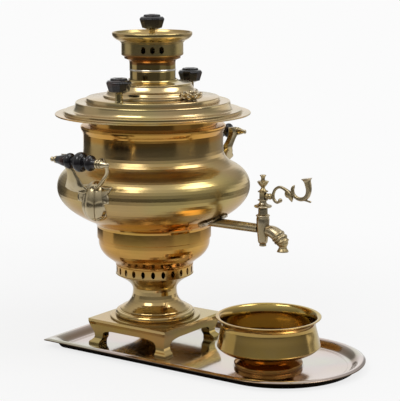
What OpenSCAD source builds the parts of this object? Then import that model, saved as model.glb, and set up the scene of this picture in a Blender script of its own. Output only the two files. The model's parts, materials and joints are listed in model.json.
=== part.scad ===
// Brass samovar with its tray and drip bowl.
// Millimetres, +Z up.  The origin lies on the table under the samovar's own axis,
// the tap points to -Y and the two handles stand at -X and +X.

/* [Tray] */
// Width of the tray across its straight sides
tray_w = 220; // [212:1:250]
// Samovar axis to the square end
tray_back = 108; // [104:1:130]
// Samovar axis to the centre of the round end
tray_reach = 204; // [196:1:230]
// Height of the flange above the table
tray_h = 12; // [10:0.5:18]
// Thickness of the tray's sheet
tray_t = 1.5; // [1:0.1:2]
// Width of the flat flange
tray_flange = 13; // [8:0.5:15]
// Run of the sloping wall
tray_slope = 6; // [4:0.5:8]
// Inner corner radius at the square end
tray_corner = 16; // [12:1:24]
// Depth of the turned-down edge
tray_lip = 3; // [2:0.5:4]

/* [Foot] */
// Side of the square foot plate
base_side = 130; // [120:1:140]
// Height of the foot plate over the tray's floor
base_h = 35.5; // [32:0.5:42]
// Depth of the plate's side above the feet
apron_h = 15; // [12:0.5:17]
// Thickness of the plate's top
plate_t = 3; // [2:0.5:4]
// How far the side hollows in at the ankle of a foot
ankle_in = 6; // [3:0.5:8]
// Width of a foot at the ankle
ankle_w = 13.6; // [11:0.2:17]
// Width of a foot at the toe
toe_w = 17.5; // [14:0.5:20]
// Thickness of the brackets beside each foot
bracket_t = 3; // [2:0.5:4]

/* [Pedestal] */
// Height from the foot plate to the pierced band
pedestal_h = 60; // [52:1:70]
// Radius of the flange on the foot plate
pedestal_r = 61.5; // [58:0.5:64]
// Radius of the round moulding above the flange
torus_r = 54.1; // [50:0.5:56]
// Radius at the waist
waist_r = 29.8; // [26:0.5:36]

/* [Pierced band] */
// Outer radius of the pierced band
band_r = 52.3; // [50:0.5:58]
// Height of the pierced band
band_h = 14; // [13:0.5:18]
// Number of draught holes
band_holes = 24; // [16:1:26]
// Width of a draught hole
band_hole_w = 5.4; // [4:0.2:6.4]
// Height of a draught hole
band_hole_h = 9.6; // [8:0.2:10]
// Turn of the ring of draught holes
band_turn = 5; // [0:0.5:15]

/* [Vessel] */
// Thickness of the spun brass
wall = 1.5; // [1.2:0.1:2]
// Height of the cup below the drum
cup_h = 37; // [34:1:44]
// Height of the drum between cup and belly
drum_h = 16; // [14:1:22]
// Radius of the drum
drum_r = 77.4; // [74:0.5:82]
// Greatest radius of the belly
belly_r = 130.2; // [124:0.5:136]
// Height from the drum to the widest place
belly_rise = 54; // [50:1:60]
// Height from the widest place to the neck
shoulder_h = 52; // [48:1:58]
// Radius of the neck
neck_r = 94; // [92:0.5:98]
// Height of the neck up to the lip
neck_h = 31.5; // [28:0.5:36]
// How far the lip flares out
lip_flare = 3.5; // [2:0.5:5]

/* [Fire tube and grate] */
// Outer radius at the grate
flue_low_r = 40; // [38:0.5:44]
// Outer radius at the top
flue_top_r = 30.5; // [28:0.5:31]
// Wall of the fire tube
flue_wall = 1.8; // [1.4:0.1:2.2]
// Height of the fire tube over the collar
flue_rise = 43.5; // [40:0.5:50]
// Radius of the ledge hole under the grate
grate_hole_r = 33; // [30:0.5:35]
// Thickness of the grate
grate_t = 4; // [3:0.5:6]

/* [Collar] */
// Radius of the round edge that the lid stands in
ledge_r = 103.6; // [102:0.5:105]
// Width of the slope from that edge out to the first step
step_w = 15.6; // [14:0.1:18]
// Width of the rim outside the first step
rim_w = 11.9; // [8:0.1:14]
// Radius of the hub that stands in the neck
hub_r = 85; // [83:0.5:86]
// Depth of the hub inside the neck
hub_drop = 8; // [6:0.5:12]
// Gap between the neck's lip and the rim's top
rim_rise = 16; // [13:0.5:19]
// Rim to the top of the first step
step_h = 4.2; // [3:0.2:5]
// Rim to the ledge under the lid
ledge_h = 15; // [13:0.5:18]

/* [Lid] */
// Radius of the lid
lid_r = 89.3; // [88:0.1:91]
// Height of the lid's edge
lid_edge = 6; // [5:0.5:8]
// Radius of the low disc
disc_r = 66.2; // [64:0.2:70]
// Radius of the top disc
top_disc_r = 52; // [49:0.5:54]
// Height from the lid's edge to the top disc
dome_h = 19; // [16:0.5:22]
// Distance of the knobs from the axis
knob_place = 83.5; // [79:0.5:83.5]
// Direction of the left knob, from the left-hand side
knob_turn_left = 6; // [-20:1:20]
// Direction of the right knob, from the right-hand side
knob_turn_right = -1; // [-20:1:20]
// Distance of the steam vent from the axis
vent_place = 76.5; // [74:0.5:77]
// Direction of the steam vent
vent_turn = -102; // [-130:1:-60]

/* [Knobs] */
// Number of flat faces on a knob
knob_faces = 10; // [8:1:12]
// Radius of the knob's brim
knob_r = 17.2; // [14:0.2:18]
// Height of a knob
knob_h = 20.4; // [18:0.2:24]
// Radius of a brass post
post_r = 4.8; // [4:0.1:5.5]
// Height of a post on the lid
lid_post_h = 12; // [10:0.5:16]
// Height of the damper's post
damper_post_h = 8.2; // [7:0.2:12]

/* [Crown] */
// Outer radius of the sleeve
sleeve_r = 30.8; // [30:0.2:32]
// Height of the sleeve
sleeve_h = 9.5; // [8:0.5:13]
// Depth of the spigot inside the fire tube
spigot_h = 15; // [12:0.5:18]
// Outer radius of the pierced band
crown_r = 41.3; // [40:0.5:44]
// Height of the pierced band
crown_h = 19.5; // [17:0.5:24]
// Radius of the dish's lip
dish_r = 53.5; // [51:0.5:57]
// Height of the dish
dish_h = 12.5; // [10:0.5:14]
// Radius of the hole through the dish
dish_hole_r = 27; // [25:0.5:28]
// Width of a hole in the pierced band
crown_hole_w = 6; // [4:0.2:7]
// Height of a hole in the pierced band
crown_hole_h = 10.6; // [8:0.2:12]

/* [Damper] */
// Radius of the damper plate
damper_r = 31; // [30:0.5:34]
// Height of the damper plate
damper_h = 6; // [4:0.5:8]

/* [Tap] */
// Distance from the samovar's axis to the tap's axis
tap_reach = 176; // [168:1:186]
// Height of the pipe over the drum's foot
tap_rise = 30; // [28:0.5:32]
// Outer radius of the pipe
pipe_r = 6.1; // [5.6:0.1:7]
// Radius of the waterway
bore_r = 3.4; // [3:0.1:3.8]
// Greatest radius of the barrel
barrel_r = 9.7; // [9.2:0.1:11]
// Barrel above the pipe's axis
barrel_up = 27; // [25:0.5:32]
// Barrel below the pipe's axis
barrel_down = 19; // [17:0.5:24]
// Radius of the plug at the barrel's mouth
plug_r = 5; // [4.6:0.1:5.2]
// Forward reach of the spout
spout_reach = 30; // [28:0.5:36]
// Radius of the key's drip disc
key_disc_r = 14; // [12:0.5:16]
// Height of the key above the barrel
key_h = 44; // [42:0.5:50]
// Length of the lever from the tap's axis to the horn
lever_reach = 66; // [60:1:72]
// Width of the ornamental plate at the pipe's root
plate_w = 58; // [50:1:66]

/* [Handles] */
// Samovar axis to the left grip's axis
grip_place = 155; // [151:0.5:160]
// Height of the left grip over the belly's widest place
grip_up = 52; // [48:0.5:56]
// How much nearer to the vessel the right grip is bent
grip_bend = 4; // [0:0.5:5]
// How much higher the right grip stands
grip_lift = 7; // [0:0.5:8]
// Length of the wooden part
grip_len = 53; // [48:1:58]
// Radius of the middle bead
grip_r = 13; // [11:0.5:14]
// Radius of the rod through the grip
rod_r = 2.9; // [2.4:0.1:3.2]
// Radius of the bracket's collars
ferrule_r = 7.2; // [6.5:0.1:8]
// Length of a collar
ferrule_len = 10.4; // [8:0.2:12]
// Width of the bracket's strap
strap_w = 14; // [10:0.5:18]
// Thickness of the strap
strap_t = 4; // [3:0.5:5]
// Half the height of the shell at the root
shell_h = 23; // [20:0.5:26]
// Half the width of the shell at the root
shell_w = 18; // [15:0.5:20]

/* [Bowl] */
// Bowl's centre across the tray
bowl_x = -12; // [-20:1:20]
// Bowl's centre in front of the samovar's axis
bowl_y = 193; // [188:1:205]
// Greatest radius of the bowl
bowl_r = 68.4; // [64:0.5:72]
// Height of the bowl with its foot
bowl_h = 66.4; // [60:0.5:74]
// Height of the foot
bowl_foot_h = 19; // [16:0.5:22]
// Radius of the foot
bowl_foot_r = 44.6; // [40:0.5:48]

/* [Fits] */
// Gap between curved faces seated in one another
seat = 0.1; // [0.05:0.01:0.15]
// Gap round pieces that lift off
loose = 0.4; // [0.3:0.05:0.5]
// Radial gap of a turning or sliding pin
run = 0.05; // [0.02:0.01:0.09]

/* [Hidden] */
$fn = 96;

// Radii of the collar's steps
step_r = ledge_r + step_w;
rim_r = step_r + rim_w;

// Heights of the stacked pieces
z_floor = tray_t;
z_plate = z_floor + base_h;
z_band = z_plate + pedestal_h;
z_cup = z_band + band_h;
z_drum = z_cup + cup_h;
z_cove = z_drum + drum_h;
z_belly = z_cove + belly_rise;
z_neck = z_belly + shoulder_h;
z_lip = z_neck + neck_h;
z_rim = z_lip + rim_rise;
z_ledge = z_rim + ledge_h;
z_lid = z_ledge + lid_edge;
z_disc = z_lid + 3.2;
z_dome = z_lid + dome_h;
z_flue = z_ledge + flue_rise;
z_crown = z_flue + sleeve_h + 7;
z_dish = z_crown + crown_h;
z_damper = z_dish + 1.4;
z_tap = z_drum + tap_rise;
z_grip = z_belly + grip_up;

flue_in_r = flue_top_r - flue_wall;
spigot_r = flue_in_r - loose;
lid_hole_r = flue_top_r + 0.9 + loose;
hub_in_r = hub_r - wall;
s = base_side / 2;

brass = [0.72, 0.58, 0.34];
bronze = [0.55, 0.47, 0.33];
ebony = [0.08, 0.07, 0.07];
iron = [0.2, 0.19, 0.18];
tinned = [0.74, 0.73, 0.7];

// ---------------------------------------------------------------- curves

// A cubic curve from a to d with handles b and c, without its first point
function curve(a, b, c, d, n = 6) = [for (i = [1:n]) let (t = i / n, u = 1 - t)
    u * u * u * a + 3 * u * u * t * b + 3 * u * t * t * c + t * t * t * d];

// Points on a circle's arc about c
function arc(c, r, from, to, n = 5) =
    [for (i = [0:n]) c + r * [cos(from + (to - from) * i / n), sin(from + (to - from) * i / n)]];

function unit(v) = v / norm(v);
function but_last(p) = [for (i = [0:len(p) - 2]) p[i]];
function reversed(p) = [for (i = [len(p) - 1:-1:0]) p[i]];

// A path moved sideways by t, to the left of its direction
function beside(p, t) = [for (i = [0:len(p) - 1])
    let (d = unit(p[min(i + 1, len(p) - 1)] - p[max(i - 1, 0)])) p[i] + t * [-d.y, d.x]];

// A spun sheet: the outer path with its own offset as the inner face
module spun(path, t) {
    rotate_extrude() polygon(concat(path, reversed(beside(path, t))));
}

// A round bar of changing radius along points in the plane x = 0
module bar(path, radii, sides = 10) {
    n = len(path);
    rings = [for (i = [0:n - 1])
        let (d = unit(path[min(i + 1, n - 1)] - path[max(i - 1, 0)]))
        for (k = [0:sides - 1])
            let (a = 360 * k / sides, r = radii[i])
            [r * sin(a), path[i].x - d.y * r * cos(a), path[i].y + d.x * r * cos(a)]];
    walls = [for (i = [0:n - 2]) for (k = [0:sides - 1]) for (half = [0, 1])
        let (m = (k + 1) % sides, a = i * sides, b = a + sides)
        half == 0 ? [a + k, b + m, a + m] : [a + k, b + k, b + m]];
    centres = [for (p = [path[0], path[n - 1]]) [0, p.x, p.y]];
    ends = [for (k = [0:sides - 1]) for (end = [0, 1]) let (m = (k + 1) % sides, a = (n - 1) * sides)
        end == 0 ? [n * sides, k, m] : [n * sides + 1, a + m, a + k]];
    polyhedron(points = concat(rings, centres), faces = concat(walls, ends), convexity = 6);
}

// An oval of width w and height h
module oval(w, h, n = 16) {
    polygon([for (i = [0:n - 1]) [w / 2 * cos(360 * i / n), h / 2 * sin(360 * i / n)]]);
}

// Extrude a drawing of (x, z) along Y, or of (y, z) along X
module along_y(from, to) {
    translate([0, to, 0]) rotate([90, 0, 0]) linear_extrude(to - from) children();
}
module along_x(from, to) {
    translate([from, 0, 0]) rotate([90, 0, 90]) linear_extrude(to - from) children();
}

// ---------------------------------------------------------------- tray

tray_in = tray_flange + tray_slope;

// Outline of the tray, drawn in by inset, with corner radius r at the square end
module tray_outline(inset, r) {
    half = tray_w / 2 - inset;
    translate([0, -tray_reach]) circle(half);
    translate([-half, -tray_reach]) square([2 * half, tray_reach + tray_back - inset - r]);
    translate([r - half, -tray_reach]) square([2 * half - 2 * r, tray_reach + tray_back - inset]);
    if (r > 0)
        for (side = [-1, 1]) translate([side * (half - r), tray_back - inset - r]) circle(r);
}

// Section of the sloping wall: x is the distance in from the outer edge
tray_section = [[tray_flange, tray_h - tray_t], [tray_flange, tray_h], [tray_flange + tray_t, tray_h],
    [tray_in + tray_t, tray_t], [tray_in + tray_t, 0], [tray_in, 0]];

module tray_wall() {
    half = tray_w / 2;
    turn = tray_flange + tray_corner;
    for (side = [0, 1]) mirror([side, 0, 0]) {
        along_y(-tray_reach, tray_back - turn)
            polygon([for (p = tray_section) [half - p.x, p.y]]);
        translate([half - turn, tray_back - turn, 0]) rotate_extrude(angle = 90)
            polygon([for (p = tray_section) [turn - p.x, p.y]]);
    }
    along_x(turn - half, half - turn) polygon([for (p = tray_section) [tray_back - p.x, p.y]]);
    translate([0, -tray_reach, 0]) rotate([0, 0, 180]) rotate_extrude(angle = 180)
        polygon([for (p = tray_section) [half - p.x, p.y]]);
}

module tray() color(brass) {
    linear_extrude(tray_t) tray_outline(tray_in, tray_corner - tray_slope);
    tray_wall();
    translate([0, 0, tray_h - tray_t]) linear_extrude(tray_t) difference() {
        tray_outline(0, 0);
        tray_outline(tray_flange, tray_corner);
    }
    translate([0, 0, tray_h - tray_lip]) linear_extrude(tray_lip) difference() {
        tray_outline(0, 0);
        tray_outline(tray_t, 0);
    }
}

// ---------------------------------------------------------------- foot plate and feet

ankle_z = z_floor + 10.5;
apron_z = z_plate - apron_h;

// Side of the square base from the plate's edge down to the toe: [half side, z]
base_side_path = concat([[s, z_plate], [s, z_plate - plate_t - 0.5]],
    curve([s, z_plate - plate_t - 0.5], [s - 1, z_plate - 12], [s - ankle_in, z_plate - 17],
        [s - ankle_in, ankle_z]),
    curve([s - ankle_in, ankle_z], [s - ankle_in, ankle_z - 5], [s - 1, ankle_z - 5.5],
        [s, z_floor + 2.5], 4),
    [[s, z_floor]]);

// The whole moulded square, solid, before its feet are cut out
module base_block() {
    side = concat(base_side_path, [for (p = reversed(base_side_path)) [-p.x, p.y]]);
    intersection() {
        along_x(-s - 1, s + 1) polygon(side);
        along_y(-s - 1, s + 1) polygon(side);
    }
}

module base_plate() color(brass) difference() {
    intersection() {
        base_block();
        translate([-s - 1, -s - 1, apron_z]) cube([2 * s + 2, 2 * s + 2, apron_h]);
    }
    hollow = s - ankle_in;
    translate([-hollow, -hollow, apron_z - 1])
        cube([2 * hollow, 2 * hollow, apron_h - plate_t + 1]);
}

// The inner edge of a foot, from the toe up to the apron: [distance from the axis, z]
foot_edge = concat([[s - toe_w, z_floor - 1], [s - toe_w, z_floor + 2.5]],
    curve([s - toe_w, z_floor + 2.5], [s - toe_w, ankle_z - 4], [s - ankle_in - ankle_w, ankle_z - 3],
        [s - ankle_in - ankle_w, ankle_z], 4));
ankle_edge = s - ankle_in - ankle_w;

// Space beside a foot: arch(reach) keeps what lies outwards of the edge
module beyond_edge(top) {
    polygon(concat(foot_edge, top, [[s + 1, apron_z], [s + 1, z_floor - 1]]));
}

bracket_curve = curve([ankle_edge, ankle_z], [ankle_edge, ankle_z + 7], [ankle_edge - 5, apron_z - 1],
    [ankle_edge - 18, apron_z]);

module foot(number) color(brass) rotate([0, 0, 90 * number]) intersection() {
    base_block();
    translate([0, 0, z_floor]) cube([s + 1, s + 1, apron_z - z_floor]);
    union() {
        intersection() {
            along_x(0, s + 1) beyond_edge([[ankle_edge, apron_z]]);
            along_y(0, s + 1) beyond_edge([[ankle_edge, apron_z]]);
        }
        intersection() {
            along_x(s - ankle_in - bracket_t, s + 1) beyond_edge(bracket_curve);
            translate([0, 0, ankle_z]) cube([s + 1, s + 1, apron_z]);
        }
        intersection() {
            along_y(s - ankle_in - bracket_t, s + 1) beyond_edge(bracket_curve);
            translate([0, 0, ankle_z]) cube([s + 1, s + 1, apron_z]);
        }
    }
}

// ---------------------------------------------------------------- pedestal and pierced band

// Outer face of the pedestal above its mouldings: down-curve to the waist and up to the band
z_waist = z_plate + 0.633 * pedestal_h;
stem_r = torus_r - 7.6;
pedestal_stem = concat([[stem_r, z_plate + 13]],
    curve([stem_r, z_plate + 13], [stem_r - 9, z_plate + 17], [waist_r, z_plate + 23],
        [waist_r, z_waist], 8),
    curve([waist_r, z_waist], [waist_r, z_waist + 9], [waist_r + 10, z_band - 7],
        [band_r, z_band], 8));

module pedestal_wall() rotate_extrude() polygon(concat(
    [[pedestal_r - 6, z_plate], [pedestal_r, z_plate], [pedestal_r, z_plate + 1.6],
        [pedestal_r - 1, z_plate + 2.2], [pedestal_r - 5, z_plate + 2.4]],
    arc([torus_r - 4.2, z_plate + 5.8], 4.2, -50, 60, 6),
    [[torus_r - 4.2, z_plate + 9.8], [torus_r - 5, z_plate + 10.2]],
    arc([stem_r - 0.4, z_plate + 11.6], 1.4, -30, 80, 4),
    pedestal_stem, [[band_r - 1.6 * wall, z_band]],
    reversed(but_last(beside(pedestal_stem, wall))),
    [[stem_r - 2, z_plate + 10], [torus_r - 6, z_plate + 7], [torus_r - 4, z_plate + 3]]));

// The part of a spun wall between two seams
module between(low, high) intersection() {
    children();
    translate([0, 0, low]) cylinder(h = high - low, r = belly_r + 10);
}

module pedestal_ring() color(brass) between(z_plate - 1, z_plate + 13) pedestal_wall();

module pedestal() color(brass) between(z_plate + 13, z_band + 1) pedestal_wall();

module vent_band() color(brass) difference() {
    rotate_extrude() polygon([[band_r - wall, z_band], [band_r, z_band], [band_r + 0.7, z_band + 0.5],
        [band_r + 0.7, z_band + 1], [band_r, z_band + 1.5], [band_r, z_cup - 1.2],
        [band_r + 0.5, z_cup - 0.8], [band_r + 0.5, z_cup - 0.4], [band_r, z_cup],
        [band_r - wall, z_cup]]);
    for (i = [0:band_holes - 1]) rotate([0, 0, band_turn + 360 * i / band_holes])
        translate([0, 0, (z_band + z_cup) / 2 + 0.4]) along_x(band_r - 4, band_r + 4)
            oval(band_hole_w, band_hole_h);
}

// ---------------------------------------------------------------- vessel

cup_mid = [band_r + 8.2, z_cup + 8.5];
cup_top = drum_r - 1.8;
cove_end = [drum_r + 14.6, z_cove + 12];
shoulder_end = [neck_r + 14, z_neck - 22];
lip_r = neck_r + lip_flare;

// Outer face of the vessel, from the pierced band up to the lip
vessel_path = concat([[band_r, z_cup]],
    curve([band_r, z_cup], [band_r, z_cup + 2.5], [band_r + 4.7, z_cup + 5.5], cup_mid, 4),
    curve(cup_mid, cup_mid + [7.5, 5], [cup_top, z_cup + 21], [cup_top, z_drum - 5], 7),
    [[cup_top, z_drum], [drum_r, z_drum + 1], [drum_r, z_cove]],
    curve([drum_r, z_cove], [drum_r, z_cove + 5], cove_end - [8, 3.5], cove_end, 5),
    curve(cove_end, cove_end + [20, 10], [belly_r, z_belly - 18], [belly_r, z_belly], 12),
    curve([belly_r, z_belly], [belly_r, z_belly + 15], shoulder_end + [13, -6.5], shoulder_end, 10),
    curve(shoulder_end, shoulder_end - [7.5, -4.5], [neck_r, z_neck - 11], [neck_r, z_neck], 7),
    [[neck_r, z_lip - 13.5]],
    curve([neck_r, z_lip - 13.5], [neck_r, z_lip - 8], [lip_r, z_lip - 6], [lip_r, z_lip - 2.5], 5),
    [[lip_r - 0.4, z_lip - 0.8], [lip_r - 1.8, z_lip]]);

module vessel_wall() difference() {
    rotate_extrude() polygon(concat(vessel_path,
        [[hub_r + loose, z_lip], [hub_r + loose, z_lip - wall]],
        reversed(beside(vessel_path, wall))));
    along_y(-belly_r, -drum_r) translate([0, z_tap]) circle(pipe_r + seat, $fn = 48);
}

// The vessel is soldered together from three spun rings
z_seam_low = z_cove - 4;
z_seam_high = z_neck - 8;

module vessel_drum() color(brass) between(z_cup - 1, z_seam_low) vessel_wall();

module vessel_belly() color(brass) between(z_seam_low, z_seam_high) vessel_wall();

module vessel_neck() color(brass) between(z_seam_high, z_lip + 1) vessel_wall();

module vessel_floor() color(brass) translate([0, 0, z_cup + 0.5]) difference() {
    cylinder(h = 2, r = band_r - wall - seat);
    translate([0, 0, -1]) cylinder(h = 4, r = flue_low_r + seat);
}

// ---------------------------------------------------------------- fire tube and grate

z_tube = z_cup + 0.5;
z_grate = z_tube + 2.5;

module fire_tube() color(brass) rotate_extrude() polygon([
    [flue_low_r, z_tube], [flue_low_r, z_tube + 12], [flue_top_r, z_ledge - 10], [flue_top_r, z_flue],
    [flue_in_r, z_flue], [flue_in_r, z_ledge - 10], [flue_low_r - flue_wall, z_tube + 12],
    [flue_low_r - flue_wall, z_grate], [grate_hole_r, z_grate], [grate_hole_r, z_tube]]);

module flue_ring() color(tinned) rotate_extrude() polygon(concat(
    [[flue_top_r + seat, z_flue - 3]],
    arc([flue_top_r + 0.1, z_flue - 1.5], 0.8, -60, 60, 4),
    [[flue_top_r + seat, z_flue]]));

module grate() color(iron) translate([0, 0, z_grate]) difference() {
    cylinder(h = grate_t, r = flue_low_r - flue_wall - loose);
    for (i = [-2:2]) {
        half = 30 - 3 * abs(i);
        translate([10.5 * i, 0, -1]) linear_extrude(grate_t + 2) {
            square([5, 2 * half - 5], center = true);
            for (end = [-1, 1]) translate([0, end * (half - 2.5)]) circle(2.5, $fn = 24);
        }
    }
}

// ---------------------------------------------------------------- collar

// Upper face of the collar, from the rim in to the hub
collar_top = concat(
    arc([rim_r - 1, z_rim - 1], 1, -60, 90, 5),
    [[step_r + 0.8, z_rim + 0.2], [step_r, z_rim + 1], [step_r, z_rim + step_h - 0.8],
        [step_r - 0.8, z_rim + step_h], [ledge_r + 5, z_rim + step_h]],
    curve([ledge_r + 5, z_rim + step_h], [ledge_r + 1.8, z_rim + step_h + 0.6],
        [ledge_r + 1.4, z_rim + 9], [ledge_r + 0.2, z_ledge - 2.4], 6),
    arc([ledge_r - 1.4, z_ledge - 1], 1.4, 0, 110, 5),
    [[ledge_r - 3.4, z_ledge], [hub_in_r, z_ledge]]);

module collar() color(brass) rotate_extrude() polygon(concat(
    [[rim_r - 2, z_rim - 1.7]], collar_top,
    [[hub_in_r, z_ledge - wall], [ledge_r - 2.6, z_ledge - wall], [ledge_r - 1.2, z_ledge - 3.2],
        [ledge_r + 0.2, z_rim + step_h - 0.6], [ledge_r + 2, z_rim + step_h - wall],
        [step_r - 1.6, z_rim + step_h - wall], [step_r - 1.4, z_rim - 1.2]]));

// Tube under the collar that stands in the neck
module collar_hub() color(brass) rotate_extrude() translate([hub_in_r, z_lip - hub_drop])
    square([wall, z_ledge - wall - z_lip + hub_drop]);

// ---------------------------------------------------------------- lid

cone_foot = top_disc_r + 3.6;
lid_t = 1.4;
flange_drop = 11;
screw_r = 2.1;
screw_out = 2.2;
nut_r = 3.4;
nut_seat_r = knob_place + nut_r + 0.3;
vent_r = 3.6;

// Upper face of the lid, from its edge in to the hole for the fire tube
lid_top = concat([[lid_r, z_ledge]],
    arc([lid_r - 1.4, z_lid - 1.4], 1.4, 0, 90, 4),
    [[disc_r, z_lid], [disc_r, z_disc - 0.9], [disc_r - 0.9, z_disc]],
    curve([disc_r - 0.9, z_disc], [disc_r - 5, z_disc + 0.4], [cone_foot + 2.5, z_disc + 1.4],
        [cone_foot, z_disc + 4], 5),
    [[top_disc_r - 0.6, z_dome - 2.4], [top_disc_r, z_dome - 1.8], [top_disc_r, z_dome - 0.6],
        [top_disc_r - 0.7, z_dome], [top_disc_r - 8, z_dome + 0.6]],
    curve([top_disc_r - 8, z_dome + 0.6], [lid_hole_r + 6, z_dome + 1], [lid_hole_r + 1.6, z_dome + 2.4],
        [lid_hole_r + 1.2, z_dome + 4.6], 4),
    [[lid_hole_r, z_dome + 4.6]]);

module lid() color(brass) difference() {
    rotate_extrude() polygon(concat(lid_top,
        [[lid_hole_r, z_dome - 0.6], [top_disc_r - 3, z_dome - 2.2], [cone_foot - 1.6, z_disc + 3.4],
            [disc_r - 3, z_disc - 1.4], [disc_r - 1.6, z_lid - lid_t], [nut_seat_r, z_lid - lid_t],
            [lid_r - lid_t, z_lid - 2.6], [lid_r - lid_t, z_ledge]]));
    for (side = [0, 180]) at_knob(side)
        translate([0, 0, -3]) cylinder(h = 20, r = screw_r + seat, $fn = 24);
    at_vent() translate([0, 0, -lid_edge]) cylinder(h = 20, r = vent_r + seat, $fn = 32);
}

// Tube under the lid that stands in the collar's hub, notched round the knobs' nuts
module lid_flange() color(brass) difference() {
    rotate_extrude() translate([hub_in_r - loose - wall, z_ledge - flange_drop])
        square([wall, flange_drop + lid_edge - lid_t]);
    for (side = [0, 180]) at_knob(side)
        translate([0, 0, -lid_t - screw_out - 2]) cylinder(h = screw_out + 3, r = nut_r + 1, $fn = 32);
}

// Places a piece at the left (180) or right (0) knob of the lid
module at_knob(side) {
    rotate([0, 0, side + (side == 0 ? knob_turn_right : knob_turn_left)])
        translate([knob_place, 0, z_lid]) children();
}

// A post with a thin screw below it that reaches depth under the surface
module post(h, depth, foot_r) {
    rotate_extrude() polygon([[0, -depth], [screw_r, -depth], [screw_r, 0], [foot_r, 0], [foot_r, 1],
        [post_r, 2], [post_r, h], [0, h]]);
}

module lid_post(side) color(brass) at_knob(side) post(lid_post_h, lid_t + screw_out, post_r + 0.8);

module lid_nut(side) color(brass) at_knob(side) translate([0, 0, -lid_t - 2]) difference() {
    cylinder(h = 2, r = nut_r, $fn = 6);
    translate([0, 0, -1]) cylinder(h = 4, r = screw_r + seat, $fn = 24);
}

// A faceted knob standing on z = 0
module knob() {
    levels = [[0, 7.2], [3.4, 0.82 * knob_r], [knob_h - 7.2, knob_r], [knob_h - 6.2, knob_r],
        [knob_h - 3.6, 0.86 * knob_r], [knob_h - 3, 0.62 * knob_r], [knob_h - 2, 0.66 * knob_r],
        [knob_h, 0.56 * knob_r]];
    n = knob_faces;
    points = [for (l = levels) for (k = [0:n - 1]) [l.y * cos(360 * k / n), l.y * sin(360 * k / n), l.x]];
    walls = [for (i = [0:len(levels) - 2]) for (k = [0:n - 1]) let (m = (k + 1) % n)
        [i * n + k, (i + 1) * n + k, (i + 1) * n + m, i * n + m]];
    ends = [[for (k = [0:n - 1]) k], [for (k = [n - 1:-1:0]) (len(levels) - 1) * n + k]];
    polyhedron(points = points, faces = concat(walls, ends));
}

module lid_knob(side) color(ebony) at_knob(side) translate([0, 0, lid_post_h]) knob();

module at_vent() {
    rotate([0, 0, vent_turn]) translate([vent_place, 0, z_lid]) children();
}

module vent_seat() color(brass) at_vent() rotate_extrude($fn = 40) polygon([[2 + run, -4], [vent_r, -4],
    [vent_r, 0], [7.5, 0], [7.5, 1], [6, 2.4], [2 + run, 2.4]]);

// Openwork cap: a button with looped petals round it
module vent_cap() color(bronze) at_vent() translate([0, 0, 2.4]) {
    translate([0, 0, -6]) cylinder(h = 7, r = 2, $fn = 32);
    rotate_extrude() polygon(concat([[0, 0], [7, 0], [7.4, 1], [6, 2.2], [3, 3.4], [2.6, 6]],
        arc([0, 8.6], 3.6, -42, 90, 5)));
    for (i = [0:5]) rotate([0, 0, 60 * i]) translate([10, 0, 5]) rotate([0, -38, 0])
        rotate_extrude($fn = 24) translate([4.6, 0]) circle(1.3, $fn = 13);
}

// ---------------------------------------------------------------- crown

// Outer face of the crown's sleeve, from the spigot up to the pierced band's floor
crown_foot = crown_r - 3.8;

module crown_sleeve() color(brass) rotate_extrude() polygon(concat(
    [[spigot_r - wall, z_flue - spigot_h], [spigot_r, z_flue - spigot_h], [spigot_r, z_flue],
        [sleeve_r, z_flue], [sleeve_r, z_flue + sleeve_h]],
    curve([sleeve_r, z_flue + sleeve_h], [sleeve_r + 0.6, z_flue + sleeve_h + 3],
        [crown_foot - 1, z_crown - 3.4], [crown_foot, z_crown - 2.6], 5),
    [[crown_foot, z_crown], [sleeve_r - wall, z_crown], [sleeve_r - wall, z_flue + 2],
        [spigot_r - wall, z_flue]]));

module crown_band() color(brass) difference() {
    rotate_extrude() polygon([[sleeve_r - wall, z_crown], [crown_foot, z_crown],
        [crown_r - 0.8, z_crown + 1.4], [crown_r, z_crown + 2.4], [crown_r, z_dish - 1.6],
        [crown_r + 0.9, z_dish - 1], [crown_r + 0.9, z_dish], [crown_r - wall, z_dish],
        [crown_r - wall, z_crown + 2.6], [crown_foot - 0.4, z_crown + wall],
        [sleeve_r - wall, z_crown + wall]]);
    for (group = [0:2]) for (i = [-1:1])
        rotate([0, 0, 217.5 + 120 * group + 17 * i])
            translate([0, 0, (z_crown + z_dish) / 2 + 0.4]) along_x(crown_r - 4, crown_r + 4)
                polygon([for (p = [[0, 0.5], [0.5, 0.25], [0.5, -0.25], [0, -0.5], [-0.5, -0.25],
                    [-0.5, 0.25]]) [p.x * crown_hole_w, p.y * crown_hole_h]]);
}

z_brim = z_dish + dish_h;

// Underside of the dish, from the pierced band out to the lip
dish_under = concat([[crown_r - 0.4, z_dish]],
    curve([crown_r - 0.4, z_dish], [crown_r + 5, z_dish + 1.6], [dish_r - 3.4, z_brim - 7],
        [dish_r - 1.2, z_brim - 2.4], 6));

module crown_dish() color(brass) rotate_extrude() polygon(concat(
    [[dish_hole_r, z_dish]], dish_under,
    arc([dish_r - 1.1, z_brim - 1.1], 1.1, -60, 130, 5),
    curve([dish_r - 2.4, z_brim - 1.6], [dish_r - 5, z_brim - 6], [crown_r + 3, z_dish + 2.8],
        [damper_r + 2, z_damper], 6),
    [[dish_hole_r, z_damper]]));

module damper_plate() color(brass) rotate_extrude() polygon(concat(
    [[0, z_damper], [dish_hole_r - loose - wall, z_damper], [dish_hole_r - loose - wall, z_damper - 4],
        [dish_hole_r - loose, z_damper - 4], [dish_hole_r - loose, z_damper], [damper_r, z_damper],
        [damper_r, z_damper + 1.2]],
    curve([damper_r, z_damper + 1.2], [damper_r - 9, z_damper + 2], [18, z_damper + damper_h - 1.4],
        [7, z_damper + damper_h], 6),
    [[0, z_damper + damper_h]]));

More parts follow.
